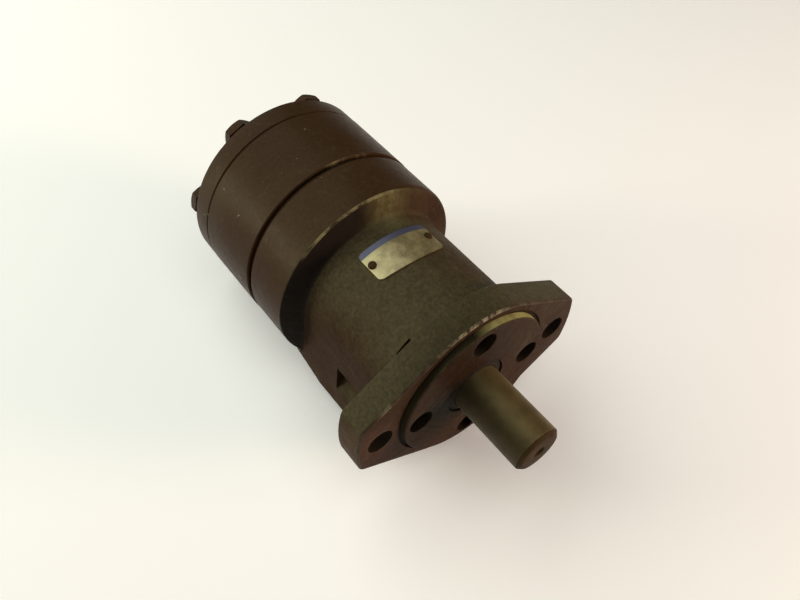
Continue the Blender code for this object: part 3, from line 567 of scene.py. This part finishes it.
def straw_plate():
    """Anodised aluminium plate, straw coloured and stained, with a plain printed band along its rear edge."""
    material, tree, shader = fresh("straw_plate")
    at = node(tree, "ShaderNodeTexCoord").outputs["Object"]
    place = node(tree, "ShaderNodeSeparateXYZ", {}, {"Vector": at})
    band_edge = (PLATE_X - PLATE_WIDTH / 2 + 3.3) * MM
    band = node(tree, "ShaderNodeMapRange", {"From Min": band_edge + 0.1 * MM, "From Max": band_edge - 0.1 * MM},
                {"Value": place.outputs["X"]})
    stains = node(tree, "ShaderNodeTexNoise", {"Scale": per_metre(6), "Detail": 7.0, "Roughness": 0.65}, {"Vector": at})
    stain = node(tree, "ShaderNodeMapRange", {"From Min": 0.40, "From Max": 0.72}, {"Value": stains.outputs["Fac"]})
    # Darker towards the +Y end
    darker_to_plus_y = node(tree, "ShaderNodeMapRange", {"From Min": -17 * MM, "From Max": 2 * MM, "To Max": 0.72},
                 {"Value": place.outputs["Y"]})
    darkened = node(tree, "ShaderNodeMath", {"operation": "MULTIPLY_ADD", 1: 0.6, "use_clamp": True},
                  {0: stain.outputs["Result"], 2: darker_to_plus_y.outputs["Result"]})
    straw = node(tree, "ShaderNodeMix", {"data_type": "RGBA", 6: colour("#c3b98b"), 7: colour("#766b4a")},
                 {0: darkened.outputs["Value"]})
    printed = node(tree, "ShaderNodeMix", {"data_type": "RGBA", 7: colour("#4f5168")},
                   {0: band.outputs["Result"], 6: straw.outputs[2]})
    tree.links.new(printed.outputs[2], shader.inputs["Base Color"])
    shader.inputs["Metallic"].default_value = 0.35
    shader.inputs["Roughness"].default_value = 0.45
    grain = node(tree, "ShaderNodeTexNoise", {"Scale": per_metre(0.7), "Detail": 2.0}, {"Vector": at})
    bump = node(tree, "ShaderNodeBump", {"Strength": 0.4, "Distance": 0.03 * MM}, {"Height": grain.outputs["Fac"]})
    tree.links.new(bump.outputs["Normal"], shader.inputs["Normal"])
    return material


# Shoulder rim: worn paint that is also a painted highlight on the drum's front edge. Groove rim: a painted highlight on
# the lit far wall of the groove.
shoulder_rim = (DRUM_FRONT, -11.0, 29.0, 0.8)
groove_rim = (span("geroler_ring")[1] - 0.3, 7.0, 14.0, 0.5)
# Pale olive on the top of the shoulder step and lighter brown on its far side are painted light; dark brown on the
# neck's far side and dark red-brown on the lower near flank are painted shade; the near half of the shoulder gets
# painted shade.
cast_paint = oily_paint("oily_paint_on_casting", grain=1.8, flecks=0.3, depth=0.3, chips=0.02, film=0.04, shine=0.55, dust=0.8,
                        olive="#473f2d", rims=[shoulder_rim], darkened=True,
                        patches=[((-79.0, 9.0, 48.0), 16.0, "#858459", 0.42), ((-79.0, 27.0, 38.0), 18.0, "#4a3a29", 0.6),
                                 ((-40.0, 14.0, 39.0), 20.0, "#2a2018", 0.45), ((-45.0, -40.0, 2.0), 40.0, "#2a180e", 0.55)])
# Dark on the upper near part of the pilot face is a painted dark reflection; near-black left of the shaft is the
# shaft's painted shadow; a lighter red-brown tints the near ear's end.
flange_paint = oily_paint("oily_paint_on_flange", grain=1.5, flecks=0.3, depth=0.26, chips=0.02, film=0.045, shine=0.5, dust=0.8,
                          olive="#443e2c", patches=[((3.0, -10.0, 24.0), 36.0, "#1f1812", 0.7),
                                                    ((3.0, -18.0, 1.0), 19.0, "#100c09", 0.9),
                                                    ((0.0, -58.0, 0.0), 18.0, "#6a4531", 0.25)])
# Dark red-brown on the lower near side of the drum, ring and cap is painted shade
smooth_paint = oily_paint("oily_paint_on_turning", grain=1.7, flecks=0.14, depth=0.06, chips=0.05, film=0.065, shine=0.38, dust=0.3,
                          olive="#3e3222", rims=[shoulder_rim, groove_rim], patches=[((-112.0, -48.0, -8.0), 48.0, "#2c1509", 0.6)])
# The pilot's machined side: a painted dark reflection over its near half
machined_iron = oiled_steel("oiled_machined_iron", "#dcd68e", "#aca268", 0.45, shaded=(0.0, -1.0, 0.0), fade=(-0.14, 0.14, 0.97))
# Along the top of the front edge: rubbed iron and a painted highlight; at the top of the near ear: a spot knocked
# bright
edge_wear_and_highlight = rubbed_and_highlit_edge([((0.0, -4.0, 47.0), 24.0, "#9c9476", 0.75, 3.5, 0.0),
                         ((0.0, -47.0, 20.0), 7.0, "#9c9476", 0.75, 3.5, 0.0)])
# The shaft's near side: painted shade where the flange keeps the light off
shaft_steel = oiled_steel("oiled_shaft_steel", "#695c3b", "#564a2e", 0.50, shaded=(0.0, -0.966, 0.26), fade=(0.35, 1.05, 0.8))
end_steel = oiled_steel("oiled_shaft_end", "#3c2d18", "#302311", 0.6, metallic=0.15)
screw_steel = blacked_steel()
recess_shade = painted_recess_shade()
rubber = sooty_rubber()
bright_steel = ground_steel()
plate_metal = straw_plate()


# Casting


def ease(value, low, high):
    """0 at low, 1 at high, smooth between."""
    t = min(max((value - low) / (high - low), 0.0), 1.0)
    return t * t * (3 - 2 * t)


def smooth_max(a, b, blend):
    """The larger of two sizes, with a fillet where they cross."""
    near = max(blend - abs(a - b), 0.0) / blend
    return max(a, b) + near * near * blend / 4


def block_reach(x, angle):
    """How far the neck and the port block under it reach from the axis, at one place round it."""
    across = math.atan2(math.sin(angle), abs(math.cos(angle)))
    side = NECK_RADIUS
    if across < BLOCK_DRAFT:
        side = NECK_RADIUS / max(math.cos(across - BLOCK_DRAFT), 0.05)
    floor = BLOCK_FLOOR / max(-math.sin(across), 0.01)
    leg = BLOCK_CORNER + TRIM_RISE * max(0.0, TRIM_START - x)
    bevel = (BLOCK_HALF_WIDTH + BLOCK_FLOOR - leg) / max(math.cos(across) - math.sin(across), 0.01)
    square = sum(reach ** -BLOCK_SQUARENESS for reach in (side, floor, bevel)) ** (-1 / BLOCK_SQUARENESS)
    front_round = 3.0
    rear_round = 1.0
    inside = min(max(min((BLOCK_FRONT - x) / front_round, (x - BLOCK_REAR) / rear_round), 0.0), 1.0)
    share = math.sqrt(1 - (1 - inside) ** 2)
    return NECK_RADIUS + (square - NECK_RADIUS) * share


def shoulder_reach(x, angle):
    """How far the step up to the drum reaches: a steep face, a fillet at its foot and a rim that is rounder on the far side."""
    lean = math.atan2(DRUM_RADIUS - NECK_RADIUS, SHOULDER_FOOT - DRUM_FRONT)
    tangent = math.tan(lean / 2)
    fillet_front = SHOULDER_FOOT + SHOULDER_FILLET * tangent
    fillet_rear = SHOULDER_FOOT - SHOULDER_FILLET * tangent * math.cos(lean)
    sharp, blunt = RIM_ROUND
    degrees = math.degrees(angle)
    rim = sharp + (blunt - sharp) * ease(degrees, 84, 56) * ease(degrees, -60, -30)
    rim_front = DRUM_FRONT + rim * tangent * math.cos(lean)
    rim_rear = DRUM_FRONT - rim * tangent
    if x >= fillet_front:
        return NECK_RADIUS
    if x >= fillet_rear:
        return NECK_RADIUS + SHOULDER_FILLET - math.sqrt(SHOULDER_FILLET ** 2 - (x - fillet_front) ** 2)
    if x >= rim_front:
        return NECK_RADIUS + (SHOULDER_FOOT - x) * math.tan(lean)
    if x >= rim_rear:
        return DRUM_RADIUS - rim + math.sqrt(rim ** 2 - (x - rim_rear) ** 2)
    return DRUM_RADIUS


def casting_reach(x, angle):
    under = block_reach(x, angle)
    blend = min(3.0, under - NECK_RADIUS + 0.01)
    reach = smooth_max(under, shoulder_reach(x, angle), blend)
    return reach - max(0.0, x - NECK_FRONT + 1) - max(0.0, DRUM_REAR + 1 - x)


def stations(*stretches):
    """Places along the shaft's axis, from (start, end, step) stretches."""
    places = []
    for start, end, step in stretches:
        count = max(1, round(abs(end - start) / step))
        places += [start + (end - start) * k / count for k in range(count)]
    return places + [stretches[-1][1]]


def cast_housing():
    """Neck, shoulder, drum and port block in one casting, then its machined holes."""
    along = stations((NECK_FRONT, -16.5, 1), (-16.5, BLOCK_FRONT, 2.5), (BLOCK_FRONT, -25, 0.35), (-25, -73, 2),
                     (-73, -76, 0.4), (-76, -82.4, 0.16), (-82.4, BLOCK_REAR + 1, 0.8),
                     (BLOCK_REAR + 1, BLOCK_REAR, 0.12), (BLOCK_REAR, DRUM_REAR + 1, 3), (DRUM_REAR + 1, DRUM_REAR, 1))
    body = turned("cast_housing", [(x, NECK_RADIUS) for x in along], steps=360)
    for point in body.data.vertices:
        angle = math.atan2(point.co.z, point.co.y)
        reach = casting_reach(point.co.x / MM, angle) * MM
        point.co.y = reach * math.cos(angle)
        point.co.z = reach * math.sin(angle)
    bore = turned("bore", [(NECK_FRONT + 1, BEARING_BORE), (BEARING_SEAT, BEARING_BORE), (BEARING_SEAT, SPOOL_RADIUS + GAP),
                           (DRUM_REAR - 1, SPOOL_RADIUS + GAP)], 96)
    body = combined(body, bore)
    y, z = POCKET_PLACE
    body = combined(body, rods([(y, z), (-y, z)], POCKET_REAR, NECK_FRONT + 2, POCKET_RADIUS, 64))
    # A short slit behind the flange
    slit = circle_of(1, NECK_RADIUS - SLIT_DEPTH + SLIT_RADIUS, SLIT_ANGLE)
    body = combined(body, rods(slit, SLIT_REAR, NECK_FRONT + 2, SLIT_RADIUS, 48))
    body = combined(body, rods(circle_of(LOBES, BOLT_CIRCLE, BOLT_PHASE), DRUM_REAR - 2, BOLT_END + 2, BOLT_HOLE, 24))
    for x, y in PORT_PLACES:
        roof = BLOCK_FLOOR - PORT_DEPTH
        port = turned("port", [(roof, PORT_RADIUS - 1.2), (BLOCK_FLOOR - 1.2, PORT_RADIUS - 1.2),
                               (BLOCK_FLOOR, PORT_RADIUS), (BLOCK_FLOOR, 14.5), (BLOCK_FLOOR + 3, 14.5)], 64)
        port.data.transform(Matrix.Translation((x * MM, y * MM, 0)) @ Matrix.Rotation(math.pi / 2, 4, "Y"))
        body = combined(body, port)
    face = rods([(0, 0)], DRAIN_FACE, DRAIN_FACE + 6, 10.0)
    face.data.transform(drain_place())
    body = combined(body, face)
    for face in body.data.polygons:
        reach = math.hypot(face.center.y, face.center.z) / MM
        if face.center.x / MM < DRUM_FRONT - 0.5 and abs(reach - DRUM_RADIUS) < 0.7:
            face.material_index = 1
    shown(body, "case", "paint", ["housing"], cast_paint, smooth_paint)


def drain_place():
    """From along X at the origin to the drain's place on the far side of the port block."""
    return Matrix.Translation((DRAIN_X * MM, 0, DRAIN_Z * MM)) @ Matrix.Rotation(math.pi / 2, 4, "Z")


# Flange


def flange_outline():
    """Round middle, straight tangent sides and ears with rounded corners."""
    side = math.pi / 2 - EAR_SLOPE
    normal = Vector((math.cos(side), math.sin(side)))
    across = FLANGE_RADIUS - EAR_CORNER
    along = math.sqrt((EAR_RADIUS - EAR_CORNER) ** 2 - across ** 2)
    corner = across * normal + along * Vector((normal.y, -normal.x))
    end = math.atan2(corner.y, corner.x)
    quarter = arc((0, 0), EAR_RADIUS, 0, end, 10)[:-1]
    quarter += arc(corner, EAR_CORNER, end, side, 10)
    quarter += arc((0, 0), FLANGE_RADIUS, side, math.pi / 2, 16)
    upper = quarter + [(-y, z) for y, z in reversed(quarter[:-1])]
    return upper + [(y, -z) for y, z in reversed(upper[1:-1])]


def pilot_flange():
    flange = eased(plate("pilot_flange", flange_outline(), 0, -FLANGE_THICK), 1.1, 4, material=1)
    undercut = turned("undercut", [(-RELIEF_DEPTH, PILOT_RADIUS - 2), (-RELIEF_DEPTH, RELIEF_RADIUS),
                                   (2, RELIEF_RADIUS), (2, PILOT_RADIUS - 2)], ring=True)
    flange = combined(flange, undercut)
    rim = 0.6
    pilot = turned("pilot", [(-5, PILOT_RADIUS), (PILOT_HEIGHT - rim, PILOT_RADIUS), (PILOT_HEIGHT, PILOT_RADIUS - rim)])
    flange = combined(flange, pilot, "UNION")
    bore = turned("bore", [(-FLANGE_THICK - 1, SEAL_BORE), (-5, SEAL_BORE), (-5, 13), (-1.3, 13), (-1.3, DUST_BORE),
                           (PILOT_HEIGHT + 1, DUST_BORE)], 96)
    flange = combined(flange, bore)
    screws = circle_of(4, SCREW_CIRCLE)
    flange = combined(flange, rods(screws, -FLANGE_THICK - 1, PILOT_HEIGHT + 1, BOLT_HOLE + 0.2, 32))
    flange = combined(flange, rods(screws, SCREW_SEAT, PILOT_HEIGHT + 1, SCREW_COUNTERBORE, 56))
    ears = circle_of(2, EAR_BOLT_OFFSET)
    flange = combined(flange, rods(ears, -FLANGE_THICK - 1, 2, EAR_BOLT_HOLE, 64))
    flange = eased(flange, 0.4, material=1)
    holes = [(y, z, SCREW_COUNTERBORE) for y, z in screws] + [(y, z, EAR_BOLT_HOLE) for y, z in ears]
    for face in flange.data.polygons:
        reach = math.hypot(face.center.y, face.center.z) / MM
        front_edge = face.center.x / MM > -1.2 and reach > RELIEF_RADIUS and 0.15 < face.normal.x < 0.99
        in_hole = any(math.hypot(face.center.y / MM - y, face.center.z / MM - z) < radius + 0.05 for y, z, radius in holes)
        # Hole walls and the relief groove's floor take the painted recess shade
        if in_hole and abs(face.normal.x) < 0.5:
            face.material_index = 3
        elif front_edge:
            face.material_index = 1
        elif abs(reach - PILOT_RADIUS) < 0.1 and face.center.x / MM < PILOT_HEIGHT - rim:
            face.material_index = 2
        elif PILOT_RADIUS < reach < RELIEF_RADIUS and -RELIEF_DEPTH - 0.1 < face.center.x / MM < -0.5:
            face.material_index = 3
        elif face.material_index == 1 and face.center.x / MM < -FLANGE_THICK / 2:
            face.material_index = 0
    shown(flange, "case", "paint", ["mounting_flange"], flange_paint, edge_wear_and_highlight, machined_iron, recess_shade)


def socket_screws():
    """Socket-head screws sunk in the pilot."""
    floor = SCREW_SEAT + GAP
    head = floor + SCREW_HEAD
    screw = turned("screw", [(floor - 22, BOLT_RADIUS), (floor, BOLT_RADIUS), (floor, 6.0), (head - 0.5, 6.0), (head, 5.5)], 48)
    screw = combined(screw, rods([(0, 0)], head - 4, head + 1, 3.46, 6))
    for k, (y, z) in enumerate(circle_of(4, SCREW_CIRCLE)):
        one = copied(screw, f"socket_screw_{k + 1}", Matrix.Translation((0, y * MM, z * MM)))
        shown(one, "case", "dark_steel", [f"flange_screw_{k + 1}"], screw_steel)
    bpy.data.objects.remove(screw)


# Shaft and seal


def keyed_shaft():
    """Plain shaft end with the valve spool behind it, in one piece."""
    lip = SHAFT_CHAMFER
    soft = 0.25
    groove = 2.5
    floor = SPOOL_RADIUS - 2.2
    profile = [(28.2, 2.1), (SHAFT_END - 1.2, 2.1), (SHAFT_END, 3.2), (SHAFT_END, SHAFT_RADIUS - lip - soft)]
    profile += [(SHAFT_END - soft / 2, SHAFT_RADIUS - lip + soft / 2), (SHAFT_END - lip + soft / 2, SHAFT_RADIUS - soft / 2)]
    profile += [(SHAFT_END - lip - soft, SHAFT_RADIUS), (-14, SHAFT_RADIUS)]
    profile += [(-14, 14), (SPOOL_FRONT, 14), (SPOOL_FRONT, SPOOL_RADIUS)]
    for x in SPOOL_GROOVES:
        front, rear = x + groove, x - groove
        profile += [(front, SPOOL_RADIUS), (front, floor), (rear, floor), (rear, SPOOL_RADIUS)]
    profile += [(SPOOL_REAR, SPOOL_RADIUS), (SPOOL_REAR, 12.6), (-66, 12.6), (-66, 10.8), (-46, 10.8)]
    shaft = turned("keyed_shaft", profile, 112)
    ends = [sorted(pair) for pair in zip(SPOOL_GROOVES, SLOT_REACH)]
    slots = []
    for k in range(2 * SPOOL_SLOTS):
        rear, front = ends[k % 2]
        slot = block((rear, -2.0, floor), (front, 2.0, SPOOL_RADIUS + 3))
        slot.data.transform(Matrix.Rotation(math.pi * k / SPOOL_SLOTS, 4, "X"))
        slots.append(slot)
    shaft = combined(shaft, joined(slots))
    shaft = combined(shaft, block((7.7, -4.0, -17.0), (40.3, 4.0, -8.7)))
    for face in shaft.data.polygons:
        reach = math.hypot(face.center.y, face.center.z) / MM
        if face.center.x / MM > SHAFT_END - SHAFT_CHAMFER or reach < 3.2:
            face.material_index = 1
    shown(shaft, "shaft", "steel", ["output_shaft"], shaft_steel, end_steel)


def wiper_ring():
    inside = SHAFT_RADIUS + GAP
    outside = DUST_BORE - GAP
    ring = turned("wiper_ring", [(-1.0, inside), (-1.0, outside), (2.0, outside), (2.2, outside - 0.4), (2.2, 14.1),
                                 (2.8, 13.4), (2.8, inside)], 112, ring=True)
    shown(ring, "case", "rubber", ["dust_seal"], rubber)


# Gear set, cap and bolts


def gear_ring():
    rear, front = span("geroler_ring")
    chamfer = 0.6
    ring = turned("gear_ring", [(front, RING_RADIUS - chamfer), (front - chamfer, RING_RADIUS), (rear + chamfer, RING_RADIUS),
                                (rear, RING_RADIUS - chamfer), (rear, RING_BORE), (front, RING_BORE)], ring=True)
    pockets = circle_of(LOBES, ROLLER_CIRCLE, ROLLER_PHASE)
    ring = combined(ring, rods(pockets, rear - 1, front + 1, ROLLER_POCKET, 48))
    bolts = circle_of(LOBES, BOLT_CIRCLE, BOLT_PHASE)
    ring = combined(ring, rods(bolts, rear - 1, front + 1, BOLT_HOLE, 24))
    shown(ring, "case", "paint", ["geroler_ring"], smooth_paint)


def groove_plate():
    rear, front = span("spacer_plate")
    ring = turned("groove_plate", [(front, 13.5), (front, PLATE_RADIUS), (rear, PLATE_RADIUS), (rear, 13.5)], ring=True)
    bolts = circle_of(LOBES, BOLT_CIRCLE, BOLT_PHASE)
    ring = combined(ring, rods(bolts, rear - 1, front + 1, BOLT_HOLE, 24))
    shown(ring, "case", "dark_steel", ["spacer_plate"], smooth_paint)


def rear_cap():
    rear, front = span("end_cap")
    rim = 0.7
    corner = [(rear + rim - rim * math.sin(a), CAP_RADIUS - rim + rim * math.cos(a))
              for a in [math.pi / 2 * k / 4 for k in range(5)]]
    cap = turned("rear_cap", [(front, CAP_RADIUS - rim), (front - rim, CAP_RADIUS)] + corner)
    bolts = circle_of(LOBES, BOLT_CIRCLE, BOLT_PHASE)
    cap = combined(cap, rods(bolts, rear - 1, front + 1, BOLT_HOLE, 24))
    shown(cap, "case", "paint", ["end_cap"], smooth_paint)


def hex_bolts():
    """Hex bolts with a washer face, through the cap, ring and plate."""
    seat = span("end_cap")[0] - GAP
    top = seat - BOLT_HEAD
    corner = BOLT_FLATS / math.sqrt(3)
    head = rods([(0, 0)], top, seat - 0.4, corner, 6)
    dome = turned("dome", [(seat + 1, corner + 1), (top + 1.1, corner + 0.2), (top, corner - 1.6)], 48)
    head = combined(head, dome, "INTERSECT")
    bolt = turned("bolt", [(BOLT_END, BOLT_RADIUS), (seat, BOLT_RADIUS), (seat, BOLT_WASHER - 0.3), (seat - 0.3, BOLT_WASHER),
                           (seat - 0.8, BOLT_WASHER), (top + 1, BOLT_WASHER - 0.4)], 48)
    bolt = combined(bolt, head, "UNION")
    for k, (y, z) in enumerate(circle_of(LOBES, BOLT_CIRCLE, BOLT_PHASE)):
        flat_outward = BOLT_PHASE + 2 * math.pi * k / LOBES + math.pi / 6
        turn = Matrix.Rotation(flat_outward, 4, "X")
        one = copied(bolt, f"hex_bolt_{k + 1}", Matrix.Translation((0, y * MM, z * MM)) @ turn)
        shown(one, "case", "dark_steel", [f"end_cap_bolt_{k + 1}"], smooth_paint)
    bpy.data.objects.remove(bolt)


# Nameplate and drain


def bare_nameplate():
    """A thin plate with rounded corners, bent round the neck."""
    inner = NECK_RADIUS + GAP
    start, end = PLATE_ENDS
    half = (end - start) / 2 * inner
    bpy.ops.object.select_all(action="DESELECT")
    bpy.ops.mesh.primitive_plane_add(size=1)
    flat = bpy.context.object
    flat.name = "bare_nameplate"
    bpy.ops.object.mode_set(mode="EDIT")
    bpy.ops.mesh.select_all(action="SELECT")
    bpy.ops.transform.resize(value=(PLATE_WIDTH * MM, 2 * half * MM, 1))
    bpy.ops.mesh.bevel(affect="VERTICES", offset=2.2 * MM, segments=6)
    bpy.ops.mesh.select_all(action="SELECT")
    bpy.ops.mesh.extrude_region_move(TRANSFORM_OT_translate={"value": (0, 0, PLATE_THICK * MM)})
    for k in range(-20, 21):
        bpy.ops.mesh.select_all(action="SELECT")
        bpy.ops.mesh.bisect(plane_co=(0, half * MM * k / 20.5, 0), plane_no=(0, 1, 0))
    bpy.ops.mesh.select_all(action="SELECT")
    bpy.ops.mesh.normals_make_consistent(inside=False)
    bpy.ops.object.mode_set(mode="OBJECT")
    for point in flat.data.vertices:
        along, arc_length, lift = point.co / MM
        angle = (start + end) / 2 + arc_length / inner
        reach = inner + lift
        along += PLATE_BULGE * (along / PLATE_WIDTH + 0.5) * (1 - (arc_length / half) ** 2)
        point.co = Vector((PLATE_X + along, reach * math.sin(angle), reach * math.cos(angle))) * MM
    shown(flat, "case", "plate", ["nameplate"], plate_metal)


def drive_screws():
    """Small domed screws at the ends of the nameplate."""
    outer = NECK_RADIUS + GAP + PLATE_THICK
    head = 2.1
    dome = [(outer + 0.3 + 1.1 * math.sin(a), head * math.cos(a)) for a in [math.pi / 2 * k / 6 for k in range(6)]]
    screw = turned("screw", [(38.5, 0.9), (outer - 0.1, 0.9), (outer - 0.1, head)] + dome, 32)
    for k, angle in enumerate(PLATE_SCREWS):
        upright = Matrix.Rotation(-angle, 4, "X") @ Matrix.Rotation(-math.pi / 2, 4, "Y")
        one = copied(screw, f"drive_screw_{k + 1}", Matrix.Translation((PLATE_X * MM, 0, 0)) @ upright)
        shown(one, "case", "steel", [f"nameplate_screw_{k + 1}"], end_steel)
    bpy.data.objects.remove(screw)


def drain_closure():
    face = DRAIN_FACE + GAP
    washer = turned("copper_washer", [(face, 6.5), (face, 8.4), (face + 1.2, 8.4), (face + 1.2, 6.5)], 64, ring=True)
    washer.data.transform(drain_place())
    shown(washer, "case", "plate", ["drain_washer"], plate_metal)
    seat = face + 1.2 + GAP
    plug = turned("closing_plug", [(31, 5.4), (31.8, 6.2), (seat, 6.2), (seat, 8.3), (seat + 4.4, 8.3), (seat + 5, 7.7)], 64)
    plug = combined(plug, rods([(0, 0)], seat + 1, seat + 6, 4.04, 6))
    plug.data.transform(drain_place())
    shown(plug, "case", "dark_steel", ["drain_plug"], screw_steel)


def inner_pieces():
    """The solids that stay as they are get the finish of their slot."""
    finishes = {"paint": smooth_paint, "steel": shaft_steel, "bright_steel": bright_steel, "dark_steel": screw_steel,
                "rubber": rubber, "plate": plate_metal}
    for part in frame["record"]["subparts"]:
        obj = frame["nodes"][part["node"]]
        if not obj.hide_render:
            obj.data.materials.clear()
            obj.data.materials.append(finishes[part["material_slot"]])


# Floor, light and camera


def floor():
    bpy.ops.object.select_all(action="DESELECT")
    bpy.ops.mesh.primitive_plane_add(size=6, location=(0, 0, cad_box[0].z - 0.0005))
    ground = bpy.context.object
    ground.name = "floor"
    material, tree, shader = fresh("pale_floor")
    shader.inputs["Base Color"].default_value = colour("#f6f6f5")
    shader.inputs["Roughness"].default_value = 0.8
    # A light table: the glow keeps the floor white round the motor
    shader.inputs["Emission Color"].default_value = colour("#ffffff")
    shader.inputs["Emission Strength"].default_value = 0.16
    ground.data.materials.append(material)


def soft_light(name, place, size, watts, tint):
    """A square soft light that faces the motor."""
    lamp = bpy.data.lights.new(name, "AREA")
    lamp.size = size
    lamp.energy = watts
    lamp.color = colour(tint)[:3]
    obj = bpy.data.objects.new(name, lamp)
    obj.location = place
    aim = Vector((-0.06, 0, 0)) - Vector(place)
    obj.rotation_euler = aim.to_track_quat("-Z", "Y").to_euler()
    bpy.context.scene.collection.objects.link(obj)


def studio():
    soft_light("rear_key", (-0.94, -0.43, 0.85), 1.8, 17.5, "#fcfff4")
    soft_light("overhead", (0.35, -0.05, 1.1), 0.8, 3.2, "#fffdf4")
    soft_light("left_glint", (-0.81, -0.99, 0.26), 0.35, 5.3, "#fcffe0")
    soft_light("far_fill", (0.86, 0.78, 0.26), 0.4, 11.5, "#ffdcc0")
    world = bpy.data.worlds.new("studio")
    world.use_nodes = True
    world.node_tree.nodes["Background"].inputs["Color"].default_value = colour("#ffffff")
    world.node_tree.nodes["Background"].inputs["Strength"].default_value = 0.015
    bpy.context.scene.world = world
    bpy.context.scene.view_settings.view_transform = "Standard"


def camera():
    """The photograph's view: above the near side, ahead of the flange."""
    right = Vector((0.61316, 0.78823, 0.05216))
    up = Vector((-0.63419, 0.45182, 0.62742))
    back = right.cross(up)
    place = Vector((122.116, -156.892, 296.944)) * MM
    lens = bpy.data.cameras.new("view")
    lens.sensor_width = 36.0
    lens.lens = 34.11
    lens.clip_start = 0.01
    eye = bpy.data.objects.new("view", lens)
    eye.matrix_world = Matrix.Translation(place) @ Matrix((right, up, back)).transposed().to_4x4()
    bpy.context.scene.collection.objects.link(eye)
    bpy.context.scene.camera = eye


cast_housing()
pilot_flange()
socket_screws()
keyed_shaft()
wiper_ring()
gear_ring()
groove_plate()
rear_cap()
hex_bolts()
bare_nameplate()
drive_screws()
drain_closure()
inner_pieces()
floor()
studio()
camera()
